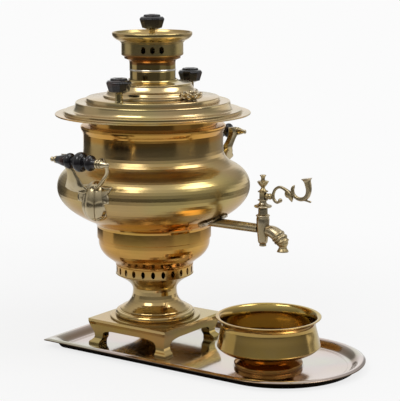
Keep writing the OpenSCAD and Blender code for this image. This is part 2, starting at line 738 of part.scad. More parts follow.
// Post of the damper with a petalled foot
module damper_post() color(brass) translate([0, 0, z_damper + damper_h]) {
    rotate_extrude() polygon([[0, 0], [4.6, 0], [4.6, 2.2], [post_r - 0.6, 3], [post_r - 0.6, damper_post_h],
        [0, damper_post_h]]);
    for (i = [0:5]) rotate([0, 0, 60 * i]) translate([5.4, 0, 0]) cylinder(h = 1.6, r = 2.6, $fn = 20);
}

module damper_knob() color(ebony)
    translate([0, 0, z_damper + damper_h + damper_post_h]) knob();

// ---------------------------------------------------------------- tap

// Drawing plane of the ornamental plate: it faces down and forward on the belly's under side
module plate_drawing() {
    w = plate_w / 2;
    difference() {
        union() {
            circle(13, $fn = 40);
            for (side = [-1, 1]) {
                translate([side * 0.45 * w, 3]) circle(9, $fn = 32);
                translate([side * 0.48 * w, -5]) circle(7, $fn = 32);
                translate([side * 0.8 * w, 0]) circle(0.2 * w, $fn = 32);
                translate([side * 0.3 * w, 12]) circle(4.5, $fn = 24);
                translate([side * 0.26 * w, -11]) circle(4.5, $fn = 24);
            }
            translate([0, 15]) circle(4.5, $fn = 24);
        }
        for (side = [-1, 1]) {
            translate([side * 0.5 * w, 3.6]) circle(3.4, $fn = 24);
            translate([side * 0.54 * w, -5.4]) circle(2.6, $fn = 24);
            translate([side * 0.82 * w, 0]) circle(2.4, $fn = 24);
            translate([side * 0.3 * w, 12.4]) circle(1.8, $fn = 20);
        }
    }
}

module tap_plate() color(bronze) difference() {
    intersection() {
        rotate_extrude() polygon(concat(beside(vessel_path, -seat),
            reversed(beside(vessel_path, -seat - 2.2))));
        translate([0, -drum_r - 22, z_tap]) rotate([123, 0, 0]) translate([0, 0, -16])
            linear_extrude(32) plate_drawing();
    }
    along_y(-belly_r, -drum_r) translate([0, z_tap]) circle(pipe_r + seat, $fn = 48);
}

pipe_end = drum_r - 6;
bend_r = 17;
bend_y = -tap_reach - spout_reach + bend_r;

// The barrel's outer face about its own axis: [radius, height over the pipe's axis]
barrel_path = concat([[0, -barrel_down]],
    arc([2.6, 2.8 - barrel_down], 2.8, -90, -5, 4),
    [[barrel_r - 1.6, -8]],
    curve([barrel_r - 1.6, -8], [barrel_r, 2], [barrel_r, 7], [barrel_r, barrel_up - 14], 5),
    [[barrel_r - 1.2, barrel_up - 12], [barrel_r - 1.2, barrel_up - 11], [barrel_r, barrel_up - 10.4],
        [barrel_r, barrel_up - 9], [barrel_r - 1.4, barrel_up - 8], [plug_r + 1.8, barrel_up - 7],
        [plug_r + 1.8, barrel_up], [0, barrel_up]]);

plug_low_r = plug_r - 1.2;

module tap_body() color(bronze) difference() {
    union() {
        along_y(-tap_reach, -pipe_end) translate([0, z_tap]) circle(pipe_r, $fn = 48);
        translate([0, -tap_reach, z_tap]) rotate_extrude($fn = 48) polygon(barrel_path);
        along_y(bend_y, -tap_reach) translate([0, z_tap - 1]) circle(7, $fn = 48);
        translate([0, bend_y, z_tap - 1 - bend_r]) rotate([0, 0, -90]) rotate([90, 0, 0])
            rotate_extrude(angle = 90, $fn = 48) translate([bend_r, 0]) circle(7.8, $fn = 40);
        for (i = [0:2]) translate([0, bend_y, z_tap - 1 - bend_r]) rotate([18 + 25 * i, 0, 0])
            translate([0, 0, bend_r]) rotate([90, 0, 0]) rotate_extrude($fn = 32)
                translate([7.8, 0]) circle(1.4, $fn = 16);
        translate([0, bend_y - bend_r, z_tap - 1 - bend_r]) rotate_extrude($fn = 40)
            polygon([[0, 1], [6.4, 1], [6.2, -1], [7.4, -4], [9.4, -7.4], [9.2, -8.4], [0, -8.4]]);
    }
    translate([0, -tap_reach, z_tap - barrel_down - 1])
        cylinder(h = barrel_down + barrel_up + 2, r1 = plug_low_r + run, r2 = plug_r + run, $fn = 48);
    along_y(-tap_reach, -pipe_end + 1) translate([0, z_tap]) circle(bore_r, $fn = 32);
    along_y(bend_y, -tap_reach) translate([0, z_tap - 1]) circle(bore_r, $fn = 32);
    translate([0, bend_y, z_tap - 1 - bend_r]) rotate([0, 0, -90]) rotate([90, 0, 0])
        rotate_extrude(angle = 90, $fn = 48) translate([bend_r, 0]) circle(bore_r, $fn = 32);
    translate([0, bend_y - bend_r, z_tap - bend_r - 10]) cylinder(h = 9, r = bore_r, $fn = 48);
    translate([0, bend_y - bend_r, z_tap - bend_r - 10])
        cylinder(h = 6, r1 = 7.6, r2 = bore_r - 0.2, $fn = 48);
}

// Ring nut that holds the pipe from inside the vessel
module tap_nut() color(brass) along_y(-pipe_end - 5, -pipe_end - 2) translate([0, z_tap]) difference() {
    circle(pipe_r + 2.6, $fn = 8);
    circle(pipe_r + seat, $fn = 48);
}

z_barrel = z_tap + barrel_up;
z_tail = z_tap - barrel_down;

module tap_key() color(bronze) translate([0, -tap_reach, 0]) difference() {
    union() {
        translate([0, 0, z_tail - 0.6]) cylinder(h = barrel_down + barrel_up + 0.9,
            r1 = plug_low_r - 0.015, r2 = plug_r, $fn = 48);
        translate([0, 0, z_tail - 3.4]) cylinder(h = 3, r = 2, $fn = 32);
        translate([0, 0, z_barrel]) rotate_extrude($fn = 48) polygon([[0, 0.2], [6.4, 0.2],
            [key_disc_r - 0.6, 1.2], [key_disc_r, 2], [key_disc_r - 0.6, 2.8], [6, 6.4], [5.6, 8],
            [5.6, 19], [8.2, 20.6], [8.6, 22], [8.2, 23.2], [4.6, 24.8], [3.4, 27.4], [4.4, 29.6],
            [8.4, 33.4], [8.8, 34.8], [5.4, 36.6], [3, 38], [4, key_h - 3.6], [3.4, key_h - 0.8],
            [0, key_h]]);
        translate([0, 0, z_barrel + 16]) along_y(-12.4, 0) circle(4.4, $fn = 40);
    }
    along_y(-plug_r - 1, plug_r + 1) translate([0, z_tap]) circle(bore_r - 0.6, $fn = 32);
}

module key_nut() color(bronze) translate([0, -tap_reach, z_tail - 3.4]) difference() {
    cylinder(h = 2.6, r = 4.5, $fn = 32);
    translate([0, 0, -1]) cylinder(h = 5, r = 2 + seat, $fn = 32);
}

// Scrolled lever in the plane x = 0.  Points are [f, h]: f in front of the tap's axis, h over the
// barrel's mouth.
function lever(p) = [-tap_reach - p.x * lever_reach / 66, z_barrel + p.y];
function rest(p) = [for (i = [1:len(p) - 1]) p[i]];

lever_line = concat(arc([25, 21], 10, 290, 90, 12), rest(arc([25, 16], 15, 90, 35, 5)),
    rest(arc([43.8, 29.2], 8, 215, 262, 4)), arc([58.5, 28], 11, -110, 0, 7),
    rest(arc([46, 28], 23.5, 0, 28, 4)));
horn_end = lever(lever_line[len(lever_line) - 1]);

// A tapering leaf or spike from one point of the lever to another
module spike(from, to, r_from, r_to) {
    a = lever(from);
    b = lever(to);
    translate([0, a.x, a.y]) rotate([atan2(a.x - b.x, b.y - a.y), 0, 0])
        cylinder(h = norm(b - a), r1 = r_from, r2 = r_to, $fn = 24);
}
module bud(at, r) {
    p = lever(at);
    translate([0, p.x, p.y]) sphere(r, $fn = 24);
}

module key_lever() color(bronze) {
    n = len(lever_line) - 1;
    bar([for (p = lever_line) lever(p)], [for (i = [0:n]) let (t = i / n)
        t < 0.6 ? 1.7 + 1.1 * sin(300 * t) : 1.7 + 2 * (t - 0.6) / 0.4]);
    translate([0, -tap_reach - 12.4, z_barrel + 16]) rotate([90, 0, 0]) cylinder(h = 3, r = 3.4, $fn = 32);
    bud([28.6, 11.8], 2.9);
    bud([44, 21.4], 3.5);
    spike([44, 22.4], [47.4, 34], 3.2, 0.8);
    spike([44, 20.4], [44.8, 11], 3.2, 0.8);
    spike([57, 16.8], [71, 14], 2.6, 1);
    bud([71, 14], 1.6);
    translate([0, horn_end.x, horn_end.y]) rotate([-28, 0, 0]) rotate_extrude($fn = 32)
        polygon([[0, -1], [4.2, -1], [4.2, 0.6], [5.2, 3.2], [6.8, 5], [6.8, 5.8], [5.8, 5.8], [3, 1.6],
            [0, 1.6]]);
}

// ---------------------------------------------------------------- handles

root_x = belly_r - 1;
root_z = z_belly + 14;
ferrule_y = grip_len / 2;

// Place of a grip's axis: side 1 is the left handle, 0 the right one
function grip_x(side) = grip_place - (side == 1 ? 0 : grip_bend);
function grip_z(side) = z_grip + (side == 1 ? 0 : grip_lift);
function strap_len(side) = norm([grip_x(side) - root_x, grip_z(side) - root_z]);

// Mirrors the right-hand handle to the left
module handed(side) {
    mirror([side, 0, 0]) children();
}

module scaled_oval(w, h) {
    polygon([for (i = [0:47]) [w * cos(7.5 * i), h * sin(7.5 * i)]]);
}

// The shell at a handle's root, grown by more
module shell_boss(more) {
    translate([belly_r - 10, 0, z_belly - 6]) rotate_extrude($fn = 48) intersection() {
        scaled_oval(shell_w + more, shell_h + more);
        translate([0, -shell_h - 1]) square([shell_w + 1, 2 * shell_h + 2]);
    }
}

// Everything inside the vessel's outer face
module vessel_space() {
    rotate_extrude() polygon(concat([[0, z_cup]], beside(vessel_path, -seat), [[0, z_lip]]));
}

// A pair of spread leaves: (y, z) about the top of the shell
module leaf_drawing() {
    half = concat([[0, 15]], curve([0, 15], [12, 19], [18, 10], [24, 14], 6),
        curve([24, 14], [30, 17], [33, 10], [30, 3], 6),
        curve([30, 3], [28, -4], [28, -10], [22, -14], 6), [[0, -16]]);
    polygon(concat(half, [for (p = reversed(half)) [-p.x, p.y]]));
}

// Shell boss with leaves that hug the belly
module handle_shell(side) color(brass) handed(side) difference() {
    union() {
        shell_boss(0);
        intersection() {
            rotate_extrude() polygon(concat(beside(vessel_path, -seat),
                reversed(beside(vessel_path, -seat - 2))));
            along_x(belly_r - 40, belly_r + 10) translate([0, z_belly + 2]) leaf_drawing();
        }
    }
    vessel_space();
}

// Half of the strap: its middle line is [along the grip, up the strap]
module strap_half(length) {
    line = concat([[0, 4]],
        curve([0, 4], [17, 4], [26, 14], [ferrule_y + ferrule_len / 2, length], 10));
    polygon(concat(beside(line, -strap_t / 2), reversed(beside(line, strap_t / 2))));
}

module handle_bracket(side) color(brass) handed(side) difference() {
    union() {
        translate([root_x, 0, root_z])
            rotate([0, atan2(grip_x(side) - root_x, grip_z(side) - root_z), 0]) {
            for (half = [0, 1]) mirror([0, half, 0]) along_x(-strap_w / 2, strap_w / 2)
                strap_half(strap_len(side));
            translate([0, 0, 3]) cylinder(h = 5.5, r1 = 8, r2 = 5, $fn = 40);
        }
        for (end = [0, 1]) mirror([0, end, 0]) along_y(ferrule_y, ferrule_y + ferrule_len)
            translate([grip_x(side), grip_z(side)]) circle(ferrule_r, $fn = 40);
    }
    along_y(-60, 60) translate([grip_x(side), grip_z(side)]) circle(rod_r + seat, $fn = 40);
    for (end = [0, 1]) mirror([0, end, 0]) along_y(ferrule_y - 8, ferrule_y)
        translate([grip_x(side), grip_z(side)]) circle(ferrule_r + 4, $fn = 40);
    vessel_space();
    shell_boss(seat);
}

finial_y = ferrule_y + ferrule_len;

module handle_rod(side) color(brass) handed(side)
    along_y(-finial_y - 4, finial_y + 4) translate([grip_x(side), grip_z(side)]) circle(rod_r, $fn = 40);

// Turned wooden grip: three beads between two short necks
module grip(side) color(ebony) handed(side) translate([grip_x(side), 0, grip_z(side)]) rotate([90, 0, 0]) {
    bead = grip_len / 2;
    rotate_extrude($fn = 48) polygon(concat([[rod_r + seat, -bead], [ferrule_r - 1, -bead]],
        [for (p = arc([0, 0], 1, -75, 75, 8)) [4 + (grip_r - 6.4) * p.x, -0.68 * bead + 7.4 * p.y]],
        [for (p = arc([0, 0], 1, -75, 75, 10)) [4 + (grip_r - 4) * p.x, 9.6 * p.y]],
        [for (p = arc([0, 0], 1, -75, 75, 8)) [4 + (grip_r - 6.4) * p.x, 0.68 * bead + 7.4 * p.y]],
        [[ferrule_r - 1, bead], [rod_r + seat, bead]]));
}

// A pair of turned end nuts on the rod
module finial(side) color(brass) handed(side) for (end = [0, 1]) mirror([0, end, 0])
    translate([grip_x(side), finial_y, grip_z(side)]) rotate([-90, 0, 0]) rotate_extrude($fn = 40)
        polygon([[rod_r + seat, 0], [ferrule_r - 0.6, 0], [ferrule_r - 1.6, 1.6], [3.8, 4.4], [3.2, 6],
            [3.9, 7.2], [3.9, 8.4], [2.8, 9.2], [0, 9.2], [0, 4.2], [rod_r + seat, 4.2]]);

// ---------------------------------------------------------------- bowl

z_bowl = z_floor + bowl_foot_h;
bowl_top = z_floor + bowl_h;

// Outer face of the bowl from under its foot's neck up to the rim
bowl_path = concat([[0, z_bowl], [bowl_foot_r - 12, z_bowl], [bowl_r - 11, z_bowl + 1.6]],
    curve([bowl_r - 11, z_bowl + 1.6], [bowl_r - 4.5, z_bowl + 2.4], [bowl_r - 1.6, z_bowl + 7],
        [bowl_r - 0.6, z_bowl + 11], 6),
    curve([bowl_r - 0.6, z_bowl + 11], [bowl_r + 0.6, z_bowl + 17], [bowl_r - 1.4, bowl_top - 16],
        [bowl_r - 2.2, bowl_top - 8], 6),
    curve([bowl_r - 2.2, bowl_top - 8], [bowl_r - 2.6, bowl_top - 4.6], [bowl_r - 0.9, bowl_top - 3],
        [bowl_r - 0.3, bowl_top], 4));

module bowl() color(brass) translate([bowl_x, -bowl_y, 0]) spun(bowl_path, wall);

module bowl_foot() color(brass) translate([bowl_x, -bowl_y, 0]) rotate_extrude() polygon(concat(
    [[bowl_foot_r - 1, z_floor], [bowl_foot_r - 0.6, z_floor + 2]],
    arc([bowl_foot_r - 2.4, z_floor + 4.4], 2.4, -40, 70, 5),
    curve([bowl_foot_r - 2.6, z_floor + 7.4], [bowl_foot_r - 7, z_floor + 9.4],
        [bowl_foot_r - 11, z_bowl - 6],
        [bowl_foot_r - 12, z_bowl], 6),
    [[bowl_foot_r - 14, z_bowl], [bowl_foot_r - 13, z_bowl - 6], [bowl_foot_r - 5, z_floor + 6],
        [bowl_foot_r - 4, z_floor]]));

// ---------------------------------------------------------------- nodes

tray();
base_plate();
foot(0);  // foot_1
foot(1);  // foot_2
foot(2);  // foot_3
foot(3);  // foot_4
pedestal_ring();
pedestal();
vent_band();
vessel_drum();
vessel_belly();
vessel_neck();
vessel_floor();
fire_tube();
flue_ring();
grate();
collar();
collar_hub();
lid();
lid_flange();
lid_post(180);  // lid_post_left
lid_post(0);  // lid_post_right
lid_knob(180);  // lid_knob_left
lid_knob(0);  // lid_knob_right
lid_nut(180);  // lid_nut_left
lid_nut(0);  // lid_nut_right
vent_seat();
vent_cap();
crown_sleeve();
crown_band();
crown_dish();
damper_plate();
damper_post();
damper_knob();
tap_plate();
tap_body();
tap_nut();
tap_key();
key_lever();
key_nut();
handle_shell(1);  // handle_shell_left
handle_shell(0);  // handle_shell_right
handle_bracket(1);  // handle_bracket_left
handle_bracket(0);  // handle_bracket_right
handle_rod(1);  // handle_rod_left
handle_rod(0);  // handle_rod_right
grip(1);  // grip_left
grip(0);  // grip_right
finial(1);  // finial_left
finial(0);  // finial_right
bowl();
bowl_foot();
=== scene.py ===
"""A charcoal samovar with its tray and drip bowl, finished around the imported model.

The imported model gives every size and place. This add-on gives each of its pieces a worked metal
or wood finish, replaces the ornamental castings with full surfaces, and sets the stage.
"""

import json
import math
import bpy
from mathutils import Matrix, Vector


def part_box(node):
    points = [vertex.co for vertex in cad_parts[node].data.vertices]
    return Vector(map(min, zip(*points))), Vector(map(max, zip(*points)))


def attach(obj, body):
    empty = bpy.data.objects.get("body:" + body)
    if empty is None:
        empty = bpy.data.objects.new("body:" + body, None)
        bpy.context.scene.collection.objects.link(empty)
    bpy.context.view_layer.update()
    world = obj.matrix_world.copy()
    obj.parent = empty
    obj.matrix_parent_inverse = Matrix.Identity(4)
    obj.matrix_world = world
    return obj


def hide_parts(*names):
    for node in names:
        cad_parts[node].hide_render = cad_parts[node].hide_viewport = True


bl_info = {
    "name": "Samovar Finish",
    "version": (1, 0, 0),
    "blender": (4, 5, 0),
    "location": "3D View > Sidebar > Samovar",
    "description": "Finishes a packed samovar: brass, bronze and black wood, castings and stage",
    "category": "Object",
}

import bpy
import numpy as np
from mathutils import Matrix, Vector

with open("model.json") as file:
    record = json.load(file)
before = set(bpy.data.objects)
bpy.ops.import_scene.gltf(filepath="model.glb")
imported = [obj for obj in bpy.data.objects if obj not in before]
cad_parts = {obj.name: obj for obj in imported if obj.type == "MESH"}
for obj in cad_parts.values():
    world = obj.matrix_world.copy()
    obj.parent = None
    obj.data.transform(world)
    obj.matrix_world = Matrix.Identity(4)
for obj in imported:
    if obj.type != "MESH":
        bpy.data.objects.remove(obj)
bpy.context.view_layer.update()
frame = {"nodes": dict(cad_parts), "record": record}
NODES = frame["nodes"]
SLOT_OF = {part["node"]: part["material_slot"] for part in frame["record"]["subparts"]}

# Shapes are worked out in millimetres, and their meshes are in metres
MM = 0.001


# ---------------------------------------------------------------- settings


def colour(name, description, default):
    """A colour property, stored as linear red, green and blue."""
    return bpy.props.FloatVectorProperty(name=name, description=description, default=default,
                                         subtype="COLOR", size=3, min=0.0, max=1.0)


def number(name, description, default, **more):
    """A property from nothing upwards, with what else it is told."""
    return bpy.props.FloatProperty(name=name, description=description, default=default, min=0.0,
                                   **more)


def length(name, description, default):
    """A length property in metres."""
    return number(name, description, default, subtype="DISTANCE", unit="LENGTH")


def amount(name, description, default, most=1.0):
    """A plain number from nothing up to most."""
    return number(name, description, default, max=most)


class SamovarMetal(bpy.types.PropertyGroup):
    """Colours of the metals and the wood."""

    brass: colour("Brass", "Cleaned brass of the body", (0.62, 0.43, 0.14))
    brass_dull: colour("Dull brass", "Brass under its grey-green tarnish", (0.50, 0.38, 0.175))
    brass_warm: colour("Warm brass", "Brass coloured by heat and old lacquer", (0.65, 0.35, 0.075))
    brass_pale: colour("Pale brass", "Dry, often wiped brass of the lid", (0.60, 0.49, 0.28))
    # Red brass and shade: on the flue just below the crown it is painted shade, the shadow of the
    # crown; on the bowl's foot it is partly copper-coloured patina and partly painted shade under
    # the bowl.
    red_brass_and_shade: colour("Red brass", "Brass browned beside the flue", (0.30, 0.11, 0.03))
    tray: colour("Tray", "Sheet of the tray", (0.60, 0.53, 0.44))
    tray_warm: colour("Tray tint", "Rosy tarnish on the tray", (0.56, 0.49, 0.40))
    # Patina and shade: partly the tray's real dark underside, partly painted shade. It also
    # blackens the outer wall and the rolled edge, which lie in the tray's shadow and mirror the
    # shadowed table.
    patina_and_shade: colour("Patina", "Dark unpolished underside of the tray", (0.020, 0.011, 0.005))
    slope: colour("Tray slope", "Brown of the tray's wall", (0.21, 0.13, 0.06))
    bowl: colour("Bowl", "Sheet of the drip bowl", (0.54, 0.37, 0.10))
    cast: colour("Cast bronze", "Satin casting of the tap", (0.50, 0.42, 0.29))
    handle: colour("Handle brass", "Casting of the handles", (0.66, 0.56, 0.38))
    dirt: colour("Dirt", "Old polish left in the recesses", (0.045, 0.028, 0.014))
    wood: colour("Black wood", "Ebonised wood of grips and knobs", (0.008, 0.007, 0.008))
    wood_worn: colour("Worn wood", "Wood where the black has rubbed thin", (0.040, 0.017, 0.012))
    iron: colour("Iron", "Grate casting", (0.06, 0.055, 0.05))
    tin: colour("Tin", "Tinned ring at the flue", (0.78, 0.77, 0.74))


class SamovarStage(bpy.types.PropertyGroup):
    """Camera, lamps, floor and surroundings."""

    distance: length("Camera distance", "Level distance from the samovar's axis", 1.91345)
    azimuth: number("Camera azimuth", "Turn of the camera about +Z, from +X",
                    math.radians(217.42), subtype="ANGLE", unit="ROTATION")
    height: length("Camera height", "Height of the camera over the floor", 0.55138)
    lens: number("Lens", "Focal length on a 36 mm wide sensor, in mm", 129.16,
                 subtype="DISTANCE_CAMERA")
    floor_radius: length("Floor radius", "Half width of the pale floor", 6.0)
    table_radius: length("Table radius", "How far the lit table shows in the metal", 0.70)
    background: amount("Background", "White behind the object", 0.965)
    left_lamp: amount("Left lamp", "Brightness of the left soft box", 4.4, 20.0)
    right_lamp: amount("Right lamp", "Brightness of the right soft box", 4.4, 20.0)
    room: amount("Room", "Brightness of the unlit room in the metal", 0.045)
    ceiling: amount("Ceiling", "Brightness of the ceiling in the metal", 0.72)
    fill: amount("Fill", "Even light on floor and wood", 0.62, 2.0)


GROUPS = {"samovar_metal": SamovarMetal, "samovar_stage": SamovarStage}


def metal():
    """The settings of the metals and the wood."""
    return bpy.context.scene.samovar_metal


def stage_settings():
    """The settings of the camera, the lamps and the surroundings."""
    return bpy.context.scene.samovar_stage


# ---------------------------------------------------------------- shader building


class Graph:
    """Short calls for placing and joining shader nodes in one tree."""

    def __init__(self, tree):
        self.tree = tree

    def put(self, socket, item):
        """Gives a socket a link, a number or a colour."""
        if isinstance(item, bpy.types.NodeSocket):
            self.tree.links.new(item, socket)
        elif socket.type == "RGBA" and len(item) == 3:
            socket.default_value = (*item, 1.0)
        else:
            socket.default_value = item

    def feed(self, node, **inputs):
        """Puts items into a node's sockets, which are named with underscores for spaces."""
        for key, item in inputs.items():
            self.put(node.inputs[key.replace("_", " ")], item)

    def add(self, kind, **inputs):
        """Places a node and feeds it."""
        node = self.tree.nodes.new(kind)
        self.feed(node, **inputs)
        return node

    def place(self):
        """Where a point of the surface is, in metres."""
        return self.add("ShaderNodeTexCoord").outputs["Object"]

    def split(self, vector):
        """The X, Y and Z outputs of a vector."""
        return self.add("ShaderNodeSeparateXYZ", Vector=vector).outputs

    def math(self, operation, a, b=0.0, clamp=False):
        """A Math node on two numbers or sockets."""
        node = self.tree.nodes.new("ShaderNodeMath")
        node.operation = operation
        node.use_clamp = clamp
        self.put(node.inputs[0], a)
        self.put(node.inputs[1], b)
        return node.outputs[0]

    def plus(self, a, b, clamp=False):
        """Sum of two numbers or sockets."""
        return self.math("ADD", a, b, clamp)

    def minus(self, a, b):
        """The first less the second."""
        return self.math("SUBTRACT", a, b)

    def times(self, a, b, clamp=False):
        """Product of two numbers or sockets."""
        return self.math("MULTIPLY", a, b, clamp)

    def ramp(self, value, low, high, to_low=0.0, to_high=1.0, smooth=True):
        """Maps low..high of a value to to_low..to_high, held at the ends."""
        node = self.tree.nodes.new("ShaderNodeMapRange")
        node.interpolation_type = "SMOOTHSTEP" if smooth else "LINEAR"
        self.feed(node, Value=value, From_Min=low, From_Max=high, To_Min=to_low, To_Max=to_high)
        return node.outputs[0]

    def mix(self, factor, a, b, blend="MIX"):
        """Two colours, mixed by a factor."""
        node = self.tree.nodes.new("ShaderNodeMix")
        node.data_type = "RGBA"
        node.blend_type = blend
        for socket, item in zip((node.inputs[0], *node.inputs[6:8]), (factor, a, b)):
            self.put(socket, item)
        return node.outputs[2]

    def blend(self, factor, a, b):
        """Two shaders, mixed by a factor."""
        node = self.add("ShaderNodeMixShader", Fac=factor)
        self.put(node.inputs[1], a)
        self.put(node.inputs[2], b)
        return node.outputs["Shader"]

    def glow(self, tone, strength):
        """Plain light of one colour."""
        return self.add("ShaderNodeEmission", Color=tone, Strength=strength).outputs["Emission"]

    def noise(self, vector, scale, detail=3.0, roughness=0.55):
        """Soft noise from 0 to 1; scale is its waves to the metre."""
        node = self.add("ShaderNodeTexNoise", Vector=vector, Scale=scale, Detail=detail,
                        Roughness=roughness)
        return node.outputs["Fac"]

    def stretched(self, vector, scale):
        """The vector multiplied by three scales, for grain that runs one way."""
        return self.add("ShaderNodeMapping", Vector=vector, Scale=scale).outputs["Vector"]


def new_group(name, inputs, outputs):
    """An empty shader group.

    Inputs and outputs are rows of (name, kind), with kind Color, Float or Vector. Whatever
    places the group feeds all its inputs.
    """
    tree = bpy.data.node_groups.new(name, "ShaderNodeTree")
    for way, rows in (("INPUT", inputs), ("OUTPUT", outputs)):
        for label, kind in rows:
            tree.interface.new_socket(label, in_out=way, socket_type="NodeSocket" + kind)
    given, out = (tree.nodes.new("NodeGroup" + end) for end in ("Input", "Output"))
    return Graph(tree), given.outputs, out


def place_group(g, group, **inputs):
    """Places a shader group in a tree, feeds it and returns its outputs."""
    node = g.tree.nodes.new("ShaderNodeGroup")
    node.node_tree = group.tree
    g.feed(node, **inputs)
    return node.outputs


# How far from a corner old polish lies, in metres
RECESS_WIDTH = 0.004


def worn_metal_group():
    """Colour, roughness and height of handled metal.

    Broad noise lays tarnish over the clean colour, fine stretched noise gives wiping and turning
    marks, small spots darken it, and ambient occlusion leaves old polish in the recesses.
    """
    g, given, out = new_group(
        "Worn metal",
        [("Clean", "Color"), ("Dull", "Color"), ("Dirt", "Color"), ("Patch scale", "Float"),
         ("Patches", "Float"), ("Recess", "Float"), ("Polish", "Float"), ("Haze", "Float")],
        [("Colour", "Color"), ("Roughness", "Float"), ("Height", "Float")],
    )
    place = g.place()
    broad = g.noise(place, given["Patch scale"], 4.0, 0.6)
    patches = g.times(g.ramp(broad, 0.36, 0.68), given["Patches"], clamp=True)
    cloudy = g.noise(place, 46.0, 3.0, 0.6)
    turning = g.noise(g.stretched(place, (30.0, 30.0, 1500.0)), 1.0, 2.0, 0.5)
    fine = g.noise(place, 900.0, 2.0, 0.5)
    wavy = g.noise(place, 24.0, 1.0, 0.4)
    spots = g.ramp(g.noise(place, 210.0, 2.0, 0.5), 0.70, 0.80)
    hollow = g.add("ShaderNodeAmbientOcclusion", Distance=RECESS_WIDTH)
    hollow.samples = 6
    recess = g.ramp(hollow.outputs["AO"], 0.35, 0.9, 1.0, 0.0)
    recess = g.times(recess, given["Recess"], clamp=True)
    tone = given["Clean"]
    for share, over in (
        (patches, "Dull"), (g.ramp(cloudy, 0.3, 0.7, 0.0, 0.22), "Dull"),
        (g.times(spots, 0.35), "Dirt"), (recess, "Dirt"),
    ):
        tone = g.mix(share, tone, given[over])
    haze = g.times(given["Haze"], g.plus(patches, g.times(cloudy, 0.5)))
    rough = g.plus(g.plus(given["Polish"], haze), g.times(turning, 0.05))
    rough = g.plus(rough, g.times(recess, 0.35), clamp=True)
    height = g.plus(g.times(turning, 0.010), g.times(fine, 0.004))
    g.feed(out, Colour=tone, Roughness=rough, Height=g.plus(height, g.times(wavy, 0.30)))
    return g


def height_band_group():
    """A mask that is 1 between two heights over the floor and fades out beyond them."""
    g, given, out = new_group(
        "Height band", [("Low", "Float"), ("High", "Float"), ("Soft", "Float")],
        [("Mask", "Float")])
    place = g.place()
    z = g.split(place)["Z"]
    z = g.plus(z, g.times(g.minus(g.noise(place, 14.0, 3.0), 0.5), 0.012))
    rise = g.ramp(z, g.minus(given["Low"], given["Soft"]), given["Low"])
    fall = g.ramp(z, given["High"], g.plus(given["High"], given["Soft"]), 1.0, 0.0)
    g.feed(out, Mask=g.times(rise, fall))
    return g


def film_group():
    """The many-coloured film that heat and age leave on brass, as a tint about white.

    A broad noise is a phase; each channel is 1 plus the strength times the cosine of the phase,
    a third of a turn apart.
    """
    g, given, out = new_group(
        "Film", [("Scale", "Float"), ("Strength", "Float")], [("Tint", "Color")])
    phase = g.times(g.noise(g.place(), given["Scale"], 2.0, 0.5), 16.0)
    red, green, blue = (
        g.plus(g.times(g.math("COSINE", g.plus(phase, third)), given["Strength"]), 1.0)
        for third in (0.0, 2.1, 4.2)
    )
    tint = g.add("ShaderNodeCombineColor", Red=red, Green=green, Blue=blue)
    g.feed(out, Tint=tint.outputs["Color"])
    return g


# ---------------------------------------------------------------- materials


def title(slot):
    """A slot's name in plain words, which its material carries."""
    return slot.replace("_", " ").capitalize()


def finish(slot):
    """The material made for a slot."""
    return bpy.data.materials[title(slot)]


def new_material(name):
    """A material with its Principled shader, and the output that it feeds."""
    made = bpy.data.materials.new(name)
    made.use_nodes = True
    made.node_tree.nodes.clear()
    g = Graph(made.node_tree)
    shader = g.add("ShaderNodeBsdfPrincipled")
    output = g.add("ShaderNodeOutputMaterial", Surface=shader.outputs["BSDF"])
    return made, g, shader, output


def add_bump(g, shader, height, strength, distance):
    """Roughens a shader's surface by a height."""
    bump = g.add("ShaderNodeBump", Strength=strength, Distance=distance, Height=height)
    g.feed(shader, Normal=bump.outputs["Normal"])


def metal_material(name, worn_group, band_group, film, bump, bands=(), under=(), coat=0.0,
                   rainbow=0.0, rainbow_scale=6.0, **values):
    """Metal from the worn metal group.

    Each row of bands lays its colour and haze between two heights. Each row of under colours
    what is steeper than a level and takes the coat off it, and the last row roughens it as well.
    The film tints the colour before those rows.
    """
    made, g, shader, _ = new_material(name)
    worn = place_group(g, worn_group, **values)
    tone, rough = worn["Colour"], worn["Roughness"]
    for low, high, soft, strength, colour_there, haze in bands:
        mask = place_group(g, band_group, Low=low, High=high, Soft=soft)["Mask"]
        tone = g.mix(g.times(mask, strength), tone, colour_there)
        rough = g.plus(rough, g.times(mask, haze))
    if rainbow:
        tint = place_group(g, film, Scale=rainbow_scale, Strength=rainbow)["Tint"]
        tone = g.mix(1.0, tone, tint, "MULTIPLY")
    if under:
        facing = g.split(g.add("ShaderNodeNewGeometry").outputs["Normal"])["Z"]
        for steep, level, colour_there in under:
            below = g.ramp(facing, steep, level, 1.0, 0.0)
            tone = g.mix(below, tone, colour_there)
            coat = g.times(g.minus(1.0, below), coat)
        rough = g.plus(rough, g.times(below, 0.15))
    g.feed(shader, Base_Color=tone, Roughness=rough, Metallic=1.0, Coat_Weight=coat,
           Coat_Roughness=0.05)
    add_bump(g, shader, worn["Height"], bump, 0.002)
    return made


def wood_material(name):
    """Ebonised, polished wood: near black, brown where it is rubbed, with fine pores."""
    m = metal()
    made, g, shader, _ = new_material(name)
    place = g.place()
    grain = g.noise(g.stretched(place, (300.0, 60.0, 300.0)), 1.0, 3.0)
    rubbed = g.ramp(g.noise(place, 60.0, 3.0), 0.5, 0.72, 0.0, 0.7)
    g.feed(shader, Base_Color=g.mix(rubbed, m.wood, m.wood_worn),
           Roughness=g.ramp(grain, 0.3, 0.7, 0.22, 0.38), Specular_IOR_Level=0.12,
           Coat_Weight=0.8, Coat_IOR=1.5, Coat_Roughness=0.06)
    add_bump(g, shader, grain, 0.12, 0.0004)
    return made


